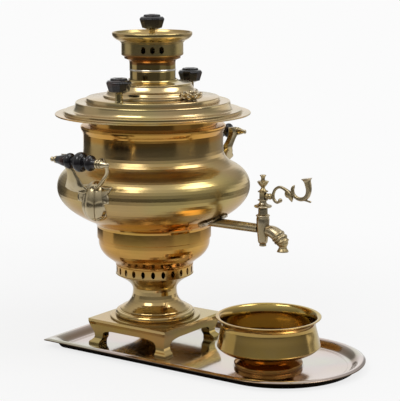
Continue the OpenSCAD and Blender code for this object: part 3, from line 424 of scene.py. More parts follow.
def make_materials():
    """One finish for each slot of the record."""
    m = metal()
    worn, band, film = worn_metal_group(), height_band_group(), film_group()
    # Tones round the body, by height: low, high, softness, strength, colour, haze
    body_bands = (
        (0.036, 0.105, 0.010, 0.60, m.brass_dull, 0.05),
        (0.112, 0.190, 0.020, 0.75, m.brass_warm, 0.0),
        (0.192, 0.272, 0.012, 0.45, m.brass_dull, 0.12),
        (0.288, 0.312, 0.008, 0.95, m.brass_warm, 0.03),
        (0.3175, 0.3585, 0.002, 0.55, m.brass_pale, 0.08),
        # Painted shade: the flue just below the crown is darkened red-brown for the shadow of the
        # crown.
        (0.384, 0.396, 0.002, 0.80, m.red_brass_and_shade, 0.08),
        (0.396, 0.450, 0.003, 0.55, m.brass_dull, 0.12),
    )
    # The bowl's foot is darkened red-brown: partly copper-coloured patina, partly painted shade
    # under the bowl.
    bowl_bands = ((0.0, 0.024, 0.004, 0.55, m.red_brass_and_shade, 0.0),)
    # The first row browns the tray's sloping wall. The second blackens what faces sideways or down:
    # partly real underside patina, partly painted shade of the tray's own shadow.
    tray_under = ((0.60, 0.985, m.slope), (-0.1, 0.4, m.patina_and_shade))
    made = {"black_wood": wood_material(title("black_wood"))}
    # Slot, clean and dull colour, scale and depth of patches, recess, polish, haze, bump, more
    for slot, clean, dull, scale, patches, recess, polish, haze, bump, more in (
        ("body_brass", m.brass, m.brass_dull, 15.0, 0.6, 0.75, 0.055, 0.07, 0.12,
         {"bands": body_bands, "rainbow": 0.03, "rainbow_scale": 9.0}),
        ("tray_brass", m.tray, m.tray_warm, 7.0, 0.8, 0.6, 0.06, 0.05, 0.03,
         {"under": tray_under, "coat": 1.0, "rainbow": 0.05, "rainbow_scale": 9.0}),
        ("bowl_brass", m.bowl, m.brass_dull, 12.0, 0.3, 0.7, 0.09, 0.06, 0.10,
         {"bands": bowl_bands, "rainbow": 0.03}),
        ("tap_bronze", m.cast, m.brass_dull, 30.0, 0.8, 0.9, 0.2, 0.15, 0.2, {}),
        ("handle_brass", m.handle, m.brass_dull, 26.0, 0.5, 0.85, 0.11, 0.12, 0.2, {}),
        ("grate_iron", m.iron, m.dirt, 60.0, 1.0, 0.9, 0.5, 0.3, 0.6, {}),
        ("flue_ring_tin", m.tin, m.brass_dull, 40.0, 0.4, 0.6, 0.12, 0.12, 0.15, {}),
    ):
        made[slot] = metal_material(
            title(slot), worn, band, film, bump, Clean=clean, Dull=dull, Dirt=m.dirt,
            Patch_scale=scale, Patches=patches, Recess=recess, Polish=polish, Haze=haze, **more)
    return made


# ---------------------------------------------------------------- stage

# Where the camera looks, and the direction of the top of its image
VIEW_FORWARD = (0.79994, 0.57166, -0.18247)
VIEW_UP = (0.15110, 0.10239, 0.98320)
SENSOR_WIDTH = 36.0
FLOOR_LEVEL = -0.0002
# What a lamp aims at: the axis, at the height of the belly
LAMPS_AIM = Vector((0.0, 0.0, 0.25))
LAMP_DISTANCE = 1.6
LAMP_SIZE = (0.8, 0.62)
WHITE = (1.0, 1.0, 1.0)


def aim(obj, forward, up):
    """Turns an object so that it looks along forward, with up near the top of its image."""
    z = -Vector(forward).normalized()
    x = Vector(up).cross(z).normalized()
    obj.rotation_euler = Matrix((x, z.cross(x), z)).transposed().to_euler()


class SAMOVAR_OT_camera(bpy.types.Operator):
    """Places the camera"""

    bl_idname = "samovar.camera"
    bl_label = "Camera"

    def execute(self, context):
        s = stage_settings()
        data = bpy.data.cameras.new("Camera")
        data.lens = s.lens
        data.sensor_width = SENSOR_WIDTH
        data.sensor_fit = "HORIZONTAL"
        data.clip_end = 50.0
        camera = bpy.data.objects.new("Camera", data)
        camera.location = (s.distance * math.cos(s.azimuth), s.distance * math.sin(s.azimuth),
                           s.height)
        aim(camera, VIEW_FORWARD, VIEW_UP)
        context.scene.collection.objects.link(camera)
        context.scene.camera = camera
        return {"FINISHED"}


def reach_along(g, x, y, azimuth):
    """How far a place lies along a level direction: x cos plus y sin of its azimuth."""
    return g.plus(g.times(x, math.cos(azimuth)), g.times(y, math.sin(azimuth)))


def room_group(s):
    """What a mirror sees of the room, from a direction given as a vector.

    Behind the samovar a white backdrop, to both sides pale panels, before it the dark room, and
    over all of it a ceiling that grows paler with height.
    """
    g, given, out = new_group(
        "Room", [("Rise", "Float"), ("Direction", "Vector")], [("Tone", "Float")])
    direction, rise = g.split(given["Direction"]), given["Rise"]
    x, y = direction["X"], direction["Y"]
    turn = g.math("DEGREES", g.math("ARCTAN2", reach_along(g, x, y, s.azimuth + math.pi / 2),
                                    reach_along(g, x, y, s.azimuth)))
    tone = g.ramp(rise, -0.15, 0.85, s.room, s.ceiling, smooth=False)
    low = g.ramp(rise, 0.25, 0.5, 1.0, 0.0)
    skirting = g.times(g.ramp(rise, -0.09, -0.03), g.ramp(rise, 0.14, 0.24, 1.0, 0.0))
    # Panels: start and end from the camera's side in degrees, softness, tone, where in height
    for start, end, soft, bright, level in (
        (-120.0, -88.0, 3.0, 0.48, low),
        (40.0, 68.0, 6.0, 0.20, low),
        (68.0, 98.0, 6.0, 0.13, low),
        (104.0, 152.0, 5.0, 0.33, low),
        (98.0, 154.0, 5.0, 0.95, skirting),
    ):
        part = g.times(g.ramp(turn, start - soft, start), g.ramp(turn, end, end + soft, 1.0, 0.0))
        part = g.times(part, level)
        lift = g.math("MAXIMUM", g.minus(bright, tone), 0.0)
        tone = g.plus(tone, g.times(part, lift))
    behind = g.ramp(g.math("ABSOLUTE", turn), 157.0, 164.0)
    behind = g.times(behind, g.ramp(rise, 0.75, 0.9, 1.0, 0.0))
    tone = g.plus(tone, g.times(behind, g.minus(s.background, tone)))
    g.feed(out, Tone=tone)
    return g


def floor_material(s, room):
    """Matt white table; seen directly it is lifted to the background's white.

    In metal it is the lit table near the samovar, and further out it fades to the room.
    """
    made, g, shader, output = new_material("Pale floor")
    place = g.place()
    mottle = g.mix(g.noise(place, 5.0, 2.0), (0.86, 0.86, 0.86), (0.90, 0.90, 0.895))
    g.feed(shader, Base_Color=mottle, Roughness=0.75)
    matt = shader.outputs["BSDF"]
    flat = g.split(place)
    x, y = flat["X"], flat["Y"]
    reach = g.math("SQRT", g.plus(g.math("POWER", x, 2.0), g.math("POWER", y, 2.0)))
    path = g.add("ShaderNodeLightPath").outputs
    near = g.blend(g.ramp(reach, 0.15, 0.9, 0.80, 1.0), matt, g.glow(WHITE, s.background))
    in_front = g.ramp(reach_along(g, x, y, s.azimuth), -0.1, 0.35, 0.0, 0.30)
    beyond = g.ramp(reach, s.table_radius, s.table_radius + 0.12)
    fade = g.plus(in_front, g.times(beyond, g.minus(1.0, in_front)))
    tone = place_group(g, room, Direction=place, Rise=-0.12)["Tone"]
    mirrored = g.blend(fade, matt, g.glow((1.0, 0.97, 0.92), tone))
    seen = g.plus(path["Is Camera Ray"], path["Is Transmission Ray"], clamp=True)
    direct = g.blend(seen, matt, near)
    g.feed(output, Surface=g.blend(path["Is Glossy Ray"], direct, mirrored))
    return made


def build_world(scene, s, room):
    """White backdrop for the camera, the room for metal and even light for all else."""
    world = bpy.data.worlds.new("Studio")
    scene.world = world
    world.use_nodes = True
    world.node_tree.nodes.clear()
    g = Graph(world.node_tree)
    ray = g.add("ShaderNodeTexCoord").outputs["Generated"]
    tone = place_group(g, room, Direction=ray, Rise=g.split(ray)["Z"])["Tone"]
    path = g.add("ShaderNodeLightPath").outputs
    clear = g.plus(path["Is Camera Ray"], path["Is Transmission Ray"], clamp=True)
    glossy = path["Is Glossy Ray"]
    rest = g.minus(1.0, g.plus(clear, glossy, clamp=True))
    strength = g.plus(g.times(clear, s.background), g.times(glossy, tone))
    strength = g.plus(strength, g.times(rest, s.fill))
    light = g.add("ShaderNodeBackground", Color=WHITE, Strength=strength)
    g.add("ShaderNodeOutputWorld", Surface=light.outputs["Background"])


def soft_box(scene, name, turn, rise, brightness):
    """A rectangular lamp that faces the vessel; brightness is what a mirror shows of it.

    Its place is given by a turn from the camera's side and a rise over the floor, in degrees.
    Its power is brightness times pi times its area, spread over the half space that it faces.
    """
    data = bpy.data.lights.new(name, "AREA")
    data.shape = "RECTANGLE"
    data.size, data.size_y = LAMP_SIZE
    data.energy = brightness * math.pi * LAMP_SIZE[0] * LAMP_SIZE[1]
    lamp = bpy.data.objects.new(name, data)
    azimuth = stage_settings().azimuth + math.radians(turn)
    rise = math.radians(rise)
    outward = Vector((math.cos(azimuth) * math.cos(rise), math.sin(azimuth) * math.cos(rise),
                      math.sin(rise)))
    lamp.location = LAMPS_AIM + outward * LAMP_DISTANCE
    aim(lamp, -outward, (0.0, 0.0, 1.0))
    lamp.visible_camera = False
    scene.collection.objects.link(lamp)


class SAMOVAR_OT_stage(bpy.types.Operator):
    """Lays the pale floor and sets the lamps and surroundings"""

    bl_idname = "samovar.stage"
    bl_label = "Stage"

    def execute(self, context):
        s = stage_settings()
        scene = context.scene
        scene.view_settings.view_transform = "Standard"
        half = s.floor_radius
        corners = [(x * half, y * half, FLOOR_LEVEL)
                   for x, y in ((-1, -1), (1, -1), (1, 1), (-1, 1))]
        mesh = bpy.data.meshes.new("floor")
        mesh.from_pydata(corners, [], [(0, 1, 2, 3)])
        room = room_group(s)
        mesh.materials.append(floor_material(s, room))
        floor = bpy.data.objects.new("floor", mesh)
        scene.collection.objects.link(floor)
        build_world(scene, s, room)
        soft_box(scene, "Left soft box", -40.0, 48.0, s.left_lamp)
        soft_box(scene, "Right soft box", 70.0, 50.0, s.right_lamp)
        return {"FINISHED"}


# ---------------------------------------------------------------- surfaces


# Turn of an edge, in degrees, from which a bevel rounds it
BEVEL_FROM = 25.0


def spline(points, count):
    """A smooth row through points: uniform Catmull-Rom cubics, count samples in all."""
    points = np.asarray(points, float)
    last = len(points) - 1
    t = np.linspace(0.0, last, count)
    k = np.minimum(t.astype(int), last - 1)
    f = (t - k)[:, None]
    a, b, c, d = (points[np.clip(k + i, 0, last)] for i in (-1, 0, 1, 2))
    return 0.5 * (2 * b + (c - a) * f + (2 * a - 5 * b + 4 * c - d) * f**2
                  + (3 * b - a - 3 * c + d) * f**3)


def unit(rows):
    """Each row scaled to length 1."""
    return rows / np.maximum(np.linalg.norm(rows, axis=-1, keepdims=True), 1e-12)


def turned(count):
    """Angles round a circle, without the last one that repeats the first."""
    return np.linspace(0.0, 2.0 * np.pi, count, endpoint=False)


def hump(x, at, width):
    """A bell that is 1 at a place and 1/e one width away: e to minus the square of the offset."""
    return np.exp(-(((x - at) / width) ** 2))


def risen(x, at, width):
    """A soft step from 0 to 1 at a place: the logistic curve of the offset in widths."""
    return 1.0 / (1.0 + np.exp(-(x - at) / width))


def powered(wave, power):
    """The size of a wave raised to a power, with its sign kept."""
    return np.sign(wave) * np.abs(wave) ** power


def box_mm(node):
    """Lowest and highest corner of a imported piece, in millimetres."""
    return [np.array(corner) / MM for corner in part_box(node)]


def shell_of(grid, hollow=False):
    """Corners and faces of a closed surface from a grid of points.

    Rows run along the form and columns close round it. The two ends are drawn together in a
    middle point, or with hollow the last row is joined to the first. If the volume that the
    faces bound comes out negative, every face is turned over, so all of them look outwards.
    """
    rows, columns = grid.shape[:2]
    here = np.arange(rows * columns).reshape(rows, columns)
    if hollow:
        here = np.vstack([here, here[:1]])
    beside = np.roll(here, -1, axis=1)
    quads = np.stack([here[:-1], beside[:-1], beside[1:], here[1:]], axis=-1).reshape(-1, 4)
    corners = grid.reshape(-1, 3)
    if hollow:
        caps = np.zeros((0, 3), int)
    else:
        pole = rows * columns
        caps = np.vstack([
            np.stack([np.full(columns, pole), beside[0], here[0]], axis=-1),
            np.stack([np.full(columns, pole + 1), here[-1], beside[-1]], axis=-1),
        ])
        corners = np.vstack([corners, grid[0].mean(axis=0), grid[-1].mean(axis=0)])
    triangles = np.vstack([quads[:, [0, 1, 2]], quads[:, [0, 2, 3]], caps])
    a, b, c = (corners[triangles[:, i]] for i in range(3))
    if np.einsum("ij,ij->", a - corners.mean(axis=0), np.cross(b - a, c - a)) < 0:
        quads, caps = quads[:, ::-1], caps[:, ::-1]
    return corners, quads, caps


def lathe(profile, count, shape=None):
    """A turned form about the Z axis: rows of (height, radius), swept round the axis.

    shape(angle, height) scales the radius, which gives facets, flutes and blocks.
    """
    profile = np.asarray(profile, float)
    angle = turned(count)[None, :]
    height, radius = profile[:, :1], profile[:, 1:]
    radius = radius * (1.0 if shape is None else shape(angle, height))
    ones = np.ones_like(angle)
    return np.stack([radius * np.cos(angle), radius * np.sin(angle), height * ones], axis=-1)


def along(grid, start, axis, across):
    """Moves a form from the Z axis to one that begins at start and runs along axis."""
    axis = unit(np.asarray(axis, float))
    across = np.asarray(across, float)
    across = unit(across - axis * np.dot(across, axis))
    third = np.cross(axis, across)
    return np.asarray(start, float) + grid @ np.stack([across, third, axis])


def make_piece(name, forms, body, slot, replaces, sharp=38.0, bevel=0.0):
    """One object from closed forms given in millimetres; it rides on body.

    Edges that turn by more than sharp degrees stay sharp, and bevel is the width that rounds
    those that turn by more than BEVEL_FROM.
    """
    corners, faces, start = [], [], 0
    for points, quads, caps in forms:
        corners.append(points)
        faces += (quads + start).tolist() + (caps + start).tolist()
        start += len(points)
    mesh = bpy.data.meshes.new(name)
    mesh.from_pydata(np.vstack(corners) * MM, [], faces)
    mesh.shade_smooth()
    mesh.set_sharp_from_angle(angle=math.radians(sharp))
    made = bpy.data.objects.new(name, mesh)
    bpy.context.scene.collection.objects.link(made)
    if bevel:
        soften = made.modifiers.new("Softened edges", "BEVEL")
        soften.width = bevel * MM
        soften.segments = 2
        soften.limit_method = "ANGLE"
        soften.angle_limit = math.radians(BEVEL_FROM)
        soften.harden_normals = True
    mesh.materials.append(finish(slot))
    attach(made, body)
    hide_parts(*replaces)


# ---------------------------------------------------------------- handles

# Outer face of the belly as two cubic curves: (radius, height) of their four control points
BELLY = (
    ((92, 176), (112, 186), (130.2, 200), (130.2, 218)),
    ((130.2, 218), (130.2, 233), (121, 241.5), (108, 248)),
)
# The grip's axis, (outwards, height), for which the arms are given, and its front and back end
GRIP_AT = (155.0, 270.0)
GRIP_FRONT = -29.0
GRIP_BACK = 35.8
# How hollow the arms lie between their edges; below zero they bulge
FRONT_SAG = 2.6
BACK_SAG = -2.4
# How deep the castings may reach into the vessel's wall
WALL_SINK = 0.6
# Edges of the handles' arms from the grip down to the shell, for outward +X and the +Y end; the
# front arms are given as if they stood at the +Y end too
ARM_BACK = (
    ((147, 24.5, 277), (146, 22.3, 265.5), (143, 19.7, 258.8), (140, 17.1, 251.4),
     (137, 12.7, 242.2), (135, 7.4, 234.1), (133.5, 5, 231), (132.5, 4.2, 227.8)),
    ((149, 33.5, 277), (150, 31.4, 265.2), (147, 28.4, 257.5), (144, 29.6, 249.1),
     (141, 33.7, 239.6), (138.6, 36.9, 233.4), (136, 30.9, 228.4), (133, 12, 225.2)),
)
ARM_FRONT_LEFT = (
    ((147, 27, 276), (145.4, 29.4, 269.4), (142, 31.1, 264), (139, 30.2, 259.4),
     (136, 26.9, 254.2), (133.4, 21.4, 249), (132.4, 15.8, 243), (131.6, 7.2, 235),
     (131, 1.6, 230)),
    ((149, 36, 276.5), (152.6, 40.5, 271.2), (152, 44, 267.1), (149, 43.2, 262.6),
     (146, 40.1, 257.3), (142.6, 34.3, 252.2), (139.6, 27.4, 246.8), (136.8, 17, 237.6),
     (134, 8.3, 231.8)),
)
ARM_FRONT_RIGHT = (
    ((147, 24, 276), (145, 25.6, 268), (139.6, 26, 260.8), (133.4, 23.4, 253),
     (130.8, 17.6, 243.5), (129.8, 10.5, 235), (131, 5, 228)),
    ((149, 34.5, 276.5), (153.6, 36.4, 268.4), (147.5, 35.5, 260.4), (141.5, 34.2, 251.5),
     (144, 31.8, 244.5), (146, 28.5, 238.5), (138, 15, 231)),
)
SHELL_CENTRE = (119.6, 214.6)
SHELL_WIDE = 19.2
SHELL_TALL = 26.2
# Outline of a foot leaf on the belly, (sideways, height), from the shell round and back
LEAF = (
    (6, 228), (10, 235.5), (18, 235), (26.4, 235.2), (25.4, 230), (23.4, 226), (25.6, 221.5),
    (25, 214.5), (19, 212.5), (12, 205), (5, 210),
)
LEAF_HEART = (14.5, 221.0)


def belly_radius(height):
    """Outer radius of the belly at a height, read off its two cubic curves."""
    t = np.linspace(0.0, 1.0, 60)[:, None]
    rows = [
        (1 - t)**3 * a + 3 * (1 - t)**2 * t * b + 3 * (1 - t) * t**2 * c + t**3 * d
        for a, b, c, d in (map(np.array, curve) for curve in BELLY)
    ]
    table = np.vstack(rows)
    return np.interp(height, table[:, 1], table[:, 0])


def kept_outside(points):
    """Moves points that lie deeper in the vessel than WALL_SINK out to that depth."""
    reach = np.hypot(points[..., 0], points[..., 1])
    least = belly_radius(points[..., 2]) - WALL_SINK
    grow = np.maximum(least / np.maximum(reach, 1.0), 1.0)
    return points * np.stack([grow, grow, np.ones_like(grow)], axis=-1)


def arm_form(edges, end, shift, lift, sag):
    """A leaf-like arm of a handle, at the end -1 or 1 of the grip.

    Two edge curves bound it. Its section is a flat loop between them: the half thickness is the
    sine of the angle round the loop, it grows into a thin rim beside each edge, and a fine rib
    runs down the middle. Sag is how hollow the section lies. The outer edge swells in small lobes
    towards the foot, and the upper part moves with the grip by shift and lift.
    """
    rows = 110
    inner, outer = (spline(edge, rows) for edge in edges)
    top = np.clip((inner[:, 2:] - 230.0) / 36.0, 0.0, 1.0)
    place = np.linspace(0.0, 1.0, rows)[:, None]
    lobes = 0.7 * np.abs(np.sin(place * 6.0 * np.pi)) * np.clip((place - 0.45) / 0.3, 0.0, 1.0)
    move = np.array([shift, 0.0, lift]) * top
    inner, outer = inner + move, outer + move
    outer = outer + unit(outer - inner) * lobes
    centre, half = (inner + outer) / 2, (outer - inner) / 2
    normal = unit(np.cross(np.gradient(centre, axis=0), half))
    angle = turned(52)
    across = powered(np.cos(angle), 0.8)
    rim = 0.55 * hump(np.abs(across), 0.90, 0.06)
    rib = 0.30 * hump(across, 0.0, 0.07)
    offset = powered(np.sin(angle), 0.6) * (0.9 + rim + rib) - sag * (1.0 - across**2)
    grid = (centre[:, None] + half[:, None] * across[None, :, None]
            + normal[:, None] * offset[None, :, None])
    return kept_outside(grid) * np.array([1.0, end, 1.0])


def shell_form():
    """The fluted shell at the foot of a handle.

    It starts as an upright egg: its radius is 1 minus t squared to the power 0.42, where t is the
    height plus 0.08 times 1 minus the height squared, so it is widest below its middle. Above a
    scalloped line the radius rises and falls in narrow ribs, below it in broad lobes, and a band
    stands up round the border. What would lie inside the vessel is brought to its wall.
    """
    height = np.sin(np.linspace(-0.5, 0.5, 120) * np.pi * 0.985)[:, None]
    angle = turned(168)[None, :] - np.pi
    low_set = height + 0.08 * (1.0 - height**2)
    base = (1.0 - low_set**2) ** 0.42
    flutes = np.abs(np.cos(3.5 * angle))
    upper = risen(height, -0.04 + 0.13 * flutes, 0.018)
    ribs = 0.10 * flutes**0.6 - 0.07
    lobes = 0.12 * flutes**0.45 - 0.055
    lip = 0.05 * hump(height, 0.05 * np.cos(6.0 * angle) - 0.80, 0.035)
    border = 0.04 * hump(np.abs(angle), 1.30, 0.09)
    relief = upper * ribs + (1.0 - upper) * lobes - lip + base * border
    radius = SHELL_WIDE * base * (1.0 + relief)
    grid = np.stack([SHELL_CENTRE[0] + radius * np.cos(angle), radius * np.sin(angle),
                     SHELL_CENTRE[1] + SHELL_TALL * height + 0.0 * angle], axis=-1)
    return kept_outside(grid)


def leaf_form(end):
    """A leaf that lies on the belly beside the shell.

    Rings grow from its heart to its outline. Over the belly its surface stands about a
    millimetre high, with a raised rim near the outline, veins that fan out from the heart and
    an edge that dips into the wall; the last rings close it from behind.
    """
    edge = spline(LEAF + LEAF[:1], 121)[:-1]
    heart = np.array(LEAF_HEART)
    in_front = np.linspace(0.03, 1.0, 26)
    ring = np.concatenate([in_front, np.linspace(0.98, 0.05, 6)])[:, None]
    flat = heart + (edge - heart)[None] * ring[..., None]
    veins = 0.14 * np.cos(turned(len(edge)) * 5.0)[None] * np.clip(ring, 0.0, 0.9)
    front = np.where(ring > 0.975, 0.5, 0.8 + 0.8 * hump(ring, 0.90, 0.06) + veins)
    behind = np.arange(len(ring))[:, None] >= len(in_front)
    y, z = flat[..., 0], flat[..., 1]
    reach = belly_radius(z) + np.where(behind, -0.5, front)
    return np.stack([np.sqrt(reach**2 - y**2), end * y, z], axis=-1)


def bead(middle, reach, radius, foot):
    """Rows of (place along the grip, radius) of a half oval with two fine grooves near each end."""
    t = np.linspace(-0.97, 0.97, 37)
    grooves = 0.35 * hump(np.abs(t), 0.58, 0.04) + 0.45 * hump(np.abs(t), 0.76, 0.04)
    swell = foot + (radius - foot) * (1 - t**2) ** 0.44
    return np.stack([middle + reach * t, swell - grooves], axis=-1)


def grip_profile():
    """The turned grip from its front end back: collar, bead, great bead, bead, long cone."""
    rows = (
        ((-29.4, 3.0), (-29.4, 4.8), (-28.4, 5.3), (-26.4, 5.9), (-24.4, 6.0)),
        bead(-19.0, 4.4, 10.2, 5.6), ((-13.6, 5.8), (-11.8, 5.8)),
        bead(-3.3, 7.2, 12.8, 5.8), ((4.4, 5.8), (9.2, 5.8)),
        bead(14.6, 5.0, 10.2, 5.8),
        ((20.2, 6.0), (20.9, 7.0), (22.4, 7.4), (25.4, 7.2), (29.0, 6.2), (33.0, 5.3),
         (35.4, 4.9), (36.0, 4.6), (36.0, 3.0)),
    )
    return np.vstack(rows)


# Rows of (outwards from where each begins, radius): ringed sleeve and tips of the front and back
FERRULE = (
    (0, 4.4), (0.1, 5.4), (0.7, 5.9), (2.2, 5.9), (2.9, 5.5), (3.3, 4.5), (4.3, 4.4), (4.7, 5.4),
    (5.3, 5.8), (6.4, 5.8), (7, 5.3), (7.3, 4.3), (8.3, 4.3), (8.7, 4.9), (9.4, 5), (10.4, 4.6),
    (12.2, 3.9),
)
TIP_FRONT = (
    (11.6, 3.9), (13.4, 3.6), (15.2, 3), (16.6, 2.4), (17.2, 2.8), (18.2, 3), (19, 2.6),
    (19.5, 0.6),
)
TIP_BACK = (
    (0, 3), (0, 4.4), (1, 4.8), (2.4, 4.6), (4.2, 3.6), (6, 2.7), (6.8, 2.5), (7.4, 3),
    (8.6, 3.2), (9.6, 2.6), (10, 0.6),
)


def handle_side(side):
    """Sign of outward X and middle of the grip's axis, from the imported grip."""
    low, high = box_mm("grip_" + side)
    sign = -1.0 if side == "left" else 1.0
    return sign, np.array([abs(low[0] + high[0]) / 2, 0.0, (low[2] + high[2]) / 2])


class SAMOVAR_OT_handles(bpy.types.Operator):
    """Builds both handles: shells with leaves, leaf-like arms, ferrules, tips and turned grips"""

    bl_idname = "samovar.handles"
    bl_label = "Handles"

    def execute(self, context):
        for side, front in (("left", ARM_FRONT_LEFT), ("right", ARM_FRONT_RIGHT)):
            sign, grip = handle_side(side)
            move = (grip[0] - GRIP_AT[0], grip[2] - GRIP_AT[1])

            def placed(grid):
                """A closed form on this side of the samovar."""
                return shell_of(grid * np.array([sign, 1.0, 1.0]))

            def on_grip(profile, place, end):
                """A turned form on the grip's axis, from a place towards an end."""
                form = lathe(spline(profile, 4 * len(profile)), 64)
                start = grip + np.array([0.0, place, 0.0])
                return placed(along(form, start, (0.0, end, 0.0), (1.0, 0.0, 0.0)))

            wood = along(lathe(grip_profile(), 80), grip, (0.0, 1.0, 0.0), (1.0, 0.0, 0.0))
            for name, node, slot, forms in (
                ("handle_arms_", "handle_bracket_", "handle_brass",
                 [placed(arm_form(front, -1.0, *move, FRONT_SAG)),
                  placed(arm_form(ARM_BACK, 1.0, *move, BACK_SAG)),
                  on_grip(FERRULE, GRIP_FRONT, -1.0)]),
                ("handle_tips_", "finial_", "handle_brass",
                 [on_grip(TIP_FRONT, GRIP_FRONT, -1.0), on_grip(TIP_BACK, GRIP_BACK, 1.0)]),
                ("handle_shell_and_leaves_", "handle_shell_", "handle_brass",
                 [placed(shell_form()), placed(leaf_form(1.0)), placed(leaf_form(-1.0))]),
                ("turned_grip_", "grip_", "black_wood", [placed(wood)]),
            ):
                make_piece(name + side, forms, "samovar", slot, (node + side,))
        return {"FINISHED"}


# ---------------------------------------------------------------- tap

TAP_Y = -176.0
TAP_Z = 178.0
MOUTH_Z = 205.0
# The lever in its own plane: (forward of the key's axis, over the barrel's mouth, half width)
SCROLL = (
    (25.8, 12.6, 1.9), (23.6, 10.3, 1.7), (20.6, 9.8, 1.75), (17.4, 12, 1.9), (15.7, 15.5, 2),
    (15.6, 19.8, 1.9), (17.8, 25.2, 1.8), (21.1, 28.4, 1.75), (25.7, 30, 1.8), (30.7, 28.9, 1.95),
    (36.1, 26.2, 2.4), (39.6, 22.8, 3.6), (42, 18.2, 3.3), (43.7, 12.6, 0.5),
)
HORN = (
    (47.6, 34.8, 0.3), (45.6, 32, 1.9), (44.3, 28, 2.3), (46, 22.4, 2.3), (50.2, 18.9, 2.3),
    (56, 17.5, 2.6), (61.9, 18.9, 2.8), (66, 22.3, 3.1), (67.9, 27, 3.3), (68.3, 31.6, 3.6),
    (67.5, 36.4, 4), (66.2, 41, 4.4), (65.6, 43.4, 5.6), (65.4, 44.3, 6.7), (65.3, 44.9, 6.5),
)
SPIKE = (
    (60, 17.6, 1.6), (64, 17, 1.5), (68.2, 15.9, 1.2), (70.8, 15.6, 1.3), (71.6, 16.4, 0.6),
)
SIDE_LEAF = (
    (35, 26.6, 1), (35.4, 22.8, 2.5), (36.4, 19.4, 2.2), (37.2, 17.2, 0.4),
)


def tap_path(line, level):
    """A path in the tap's middle plane, from rows of (forward of the barrel, over a level)."""
    return np.stack([np.zeros(len(line)), TAP_Y - line[:, 0], level + line[:, 1]], axis=-1)


def rings(path, tangent, x, y):
    """Rings round a path in the middle plane, from x sideways and y square to the path."""
    sideways = np.array([1.0, 0.0, 0.0])
    up = np.cross(tangent, sideways)
    return path[:, None] + sideways * x[..., None] + up[:, None] * y[..., None]


def lever_rod(rows, depth, count=120, groove=0.10):
    """A rod in the lever's plane with a groove along each flat side.

    Each row gives its middle and half width; depth is its thickness across the plane as a share
    of the width. A section is the cosine and sine of the angle round it, both raised to the power
    0.8 and drawn in by the groove where the cosine is near 1 or -1.
    """
    line = spline(rows, count)
    path = tap_path(line, MOUTH_Z)
    half = np.maximum(line[:, 2:], 0.15)
    angle = turned(36)[None, :]
    drawn_in = 1.0 - groove * hump(np.abs(np.cos(angle)), 1.0, 0.10)
    x = powered(np.cos(angle), 0.8) * (half * depth) * drawn_in
    y = powered(np.sin(angle), 0.8) * half * drawn_in
    return rings(path, unit(np.gradient(path, axis=0)), x, y)


def block_shape(angle, height):
    """Turns a round stem into a square block with cut corners between its two collars.

    Inside it the radius is 1 over the larger of sine and cosine, up to 1.26. Above it the radius
    is notched by a cosine of 8 angles at one height and of 6 angles at another.
    """
    square = 1.0 / np.maximum(np.abs(np.cos(angle)), np.abs(np.sin(angle)))
    square = np.minimum(square, 1.26)
    inside = risen(height, 10.2, 0.12) * risen(-height, -23.0, 0.12)
    notched = (1.0 + 0.12 * np.cos(8.0 * angle) * hump(height, 34.2, 1.6)
               + 0.10 * np.cos(6.0 * angle) * hump(height, 43.0, 1.0))
    return (1.0 + (square - 1.0) * inside) * notched


# The key's stem from its foot up: (over the barrel's mouth, radius)
STEM = (
    (-46.6, 0.4), (-46.6, 3.75), (-0.3, 4.95), (0.3, 5), (0.8, 8), (1.4, 10.6), (2.2, 11.4),
    (3, 11.5), (3.7, 11), (4.6, 8.4), (5.6, 6.2), (7, 4.9), (8.8, 4.5), (9.6, 4.6), (10, 5.2),
    (10.4, 5.4), (11.4, 5.4), (11.8, 5), (11.9, 3.9), (12.6, 3.7), (20.4, 3.7), (21.1, 3.9),
    (21.2, 5), (21.6, 5.4), (22.6, 5.4), (23, 5), (23.6, 4.2), (25, 3.2), (26.8, 2.4), (28, 2.9),
    (29.6, 4.4), (31.6, 5.8), (33.6, 6.5), (34.8, 7), (35.4, 6.6), (35.6, 4.4), (36, 3),
    (38.2, 2.4), (40, 2.6), (41.4, 3.1), (42.8, 3.9), (43.4, 3.6), (43.6, 2.2), (43.2, 0.3),
)
# Outer face of the barrel from its foot up, then down inside: (over the pipe's axis, radius)
BARREL = (
    (-18.6, 4.2), (-18.6, 5.2), (-17.6, 6), (-15, 6.5), (-8, 7.2), (0, 7.9), (8, 8.4),
    (12.4, 8.5), (14.8, 8.2), (16, 7.6), (16.4, 7.7), (16.8, 8.9), (17.6, 9.1), (18.2, 8.8),
    (18.5, 7.6), (19.4, 6.4), (21, 6.1), (25.6, 6.1), (26.6, 5.9), (27, 5.4), (26.9, 5.1),
    (0, 4.45), (-18.4, 4),
)
# Middle of the spout, (forward of the barrel's axis, over the pipe's axis, radius)
SPOUT = (
    (7, -1.4, 6.9), (10.5, -1.6, 7.4), (15, -2.4, 8), (20, -4.6, 8.5), (24.6, -8, 8.9),
    (27.8, -11.4, 8.9), (29.5, -14.6, 8.4), (30.2, -17.4, 6.9), (30.4, -19.4, 5.5),
    (30.4, -21, 5.2), (30.4, -22.8, 6), (30.4, -24.8, 7.1), (30.4, -26.4, 7.6),
)


# The socket that holds the lever: (forward of the key's axis, radius)
SOCKET = (
    (4.2, 0.5), (4.2, 3.2), (5, 3.8), (6.4, 3.9), (7, 3.3), (8.6, 3.2), (9.4, 3.9), (11.2, 4.1),
    (12.6, 3.6), (14.2, 2.6), (14.6, 0.5),
)
SOCKET_UP = 16.4
# The ball in the scroll's curl: (forward of the key's axis, over the barrel's mouth) and radius
CURL = (26.2, 12.8)
CURL_RADIUS = 2.8
# The pipe's ends from the vessel's axis, its radius, and the radius where its ends close
PIPE_ENDS = (-76.0, TAP_Y + 6.9)
PIPE_RADIUS = 6.0
PIPE_CORE = 1.0


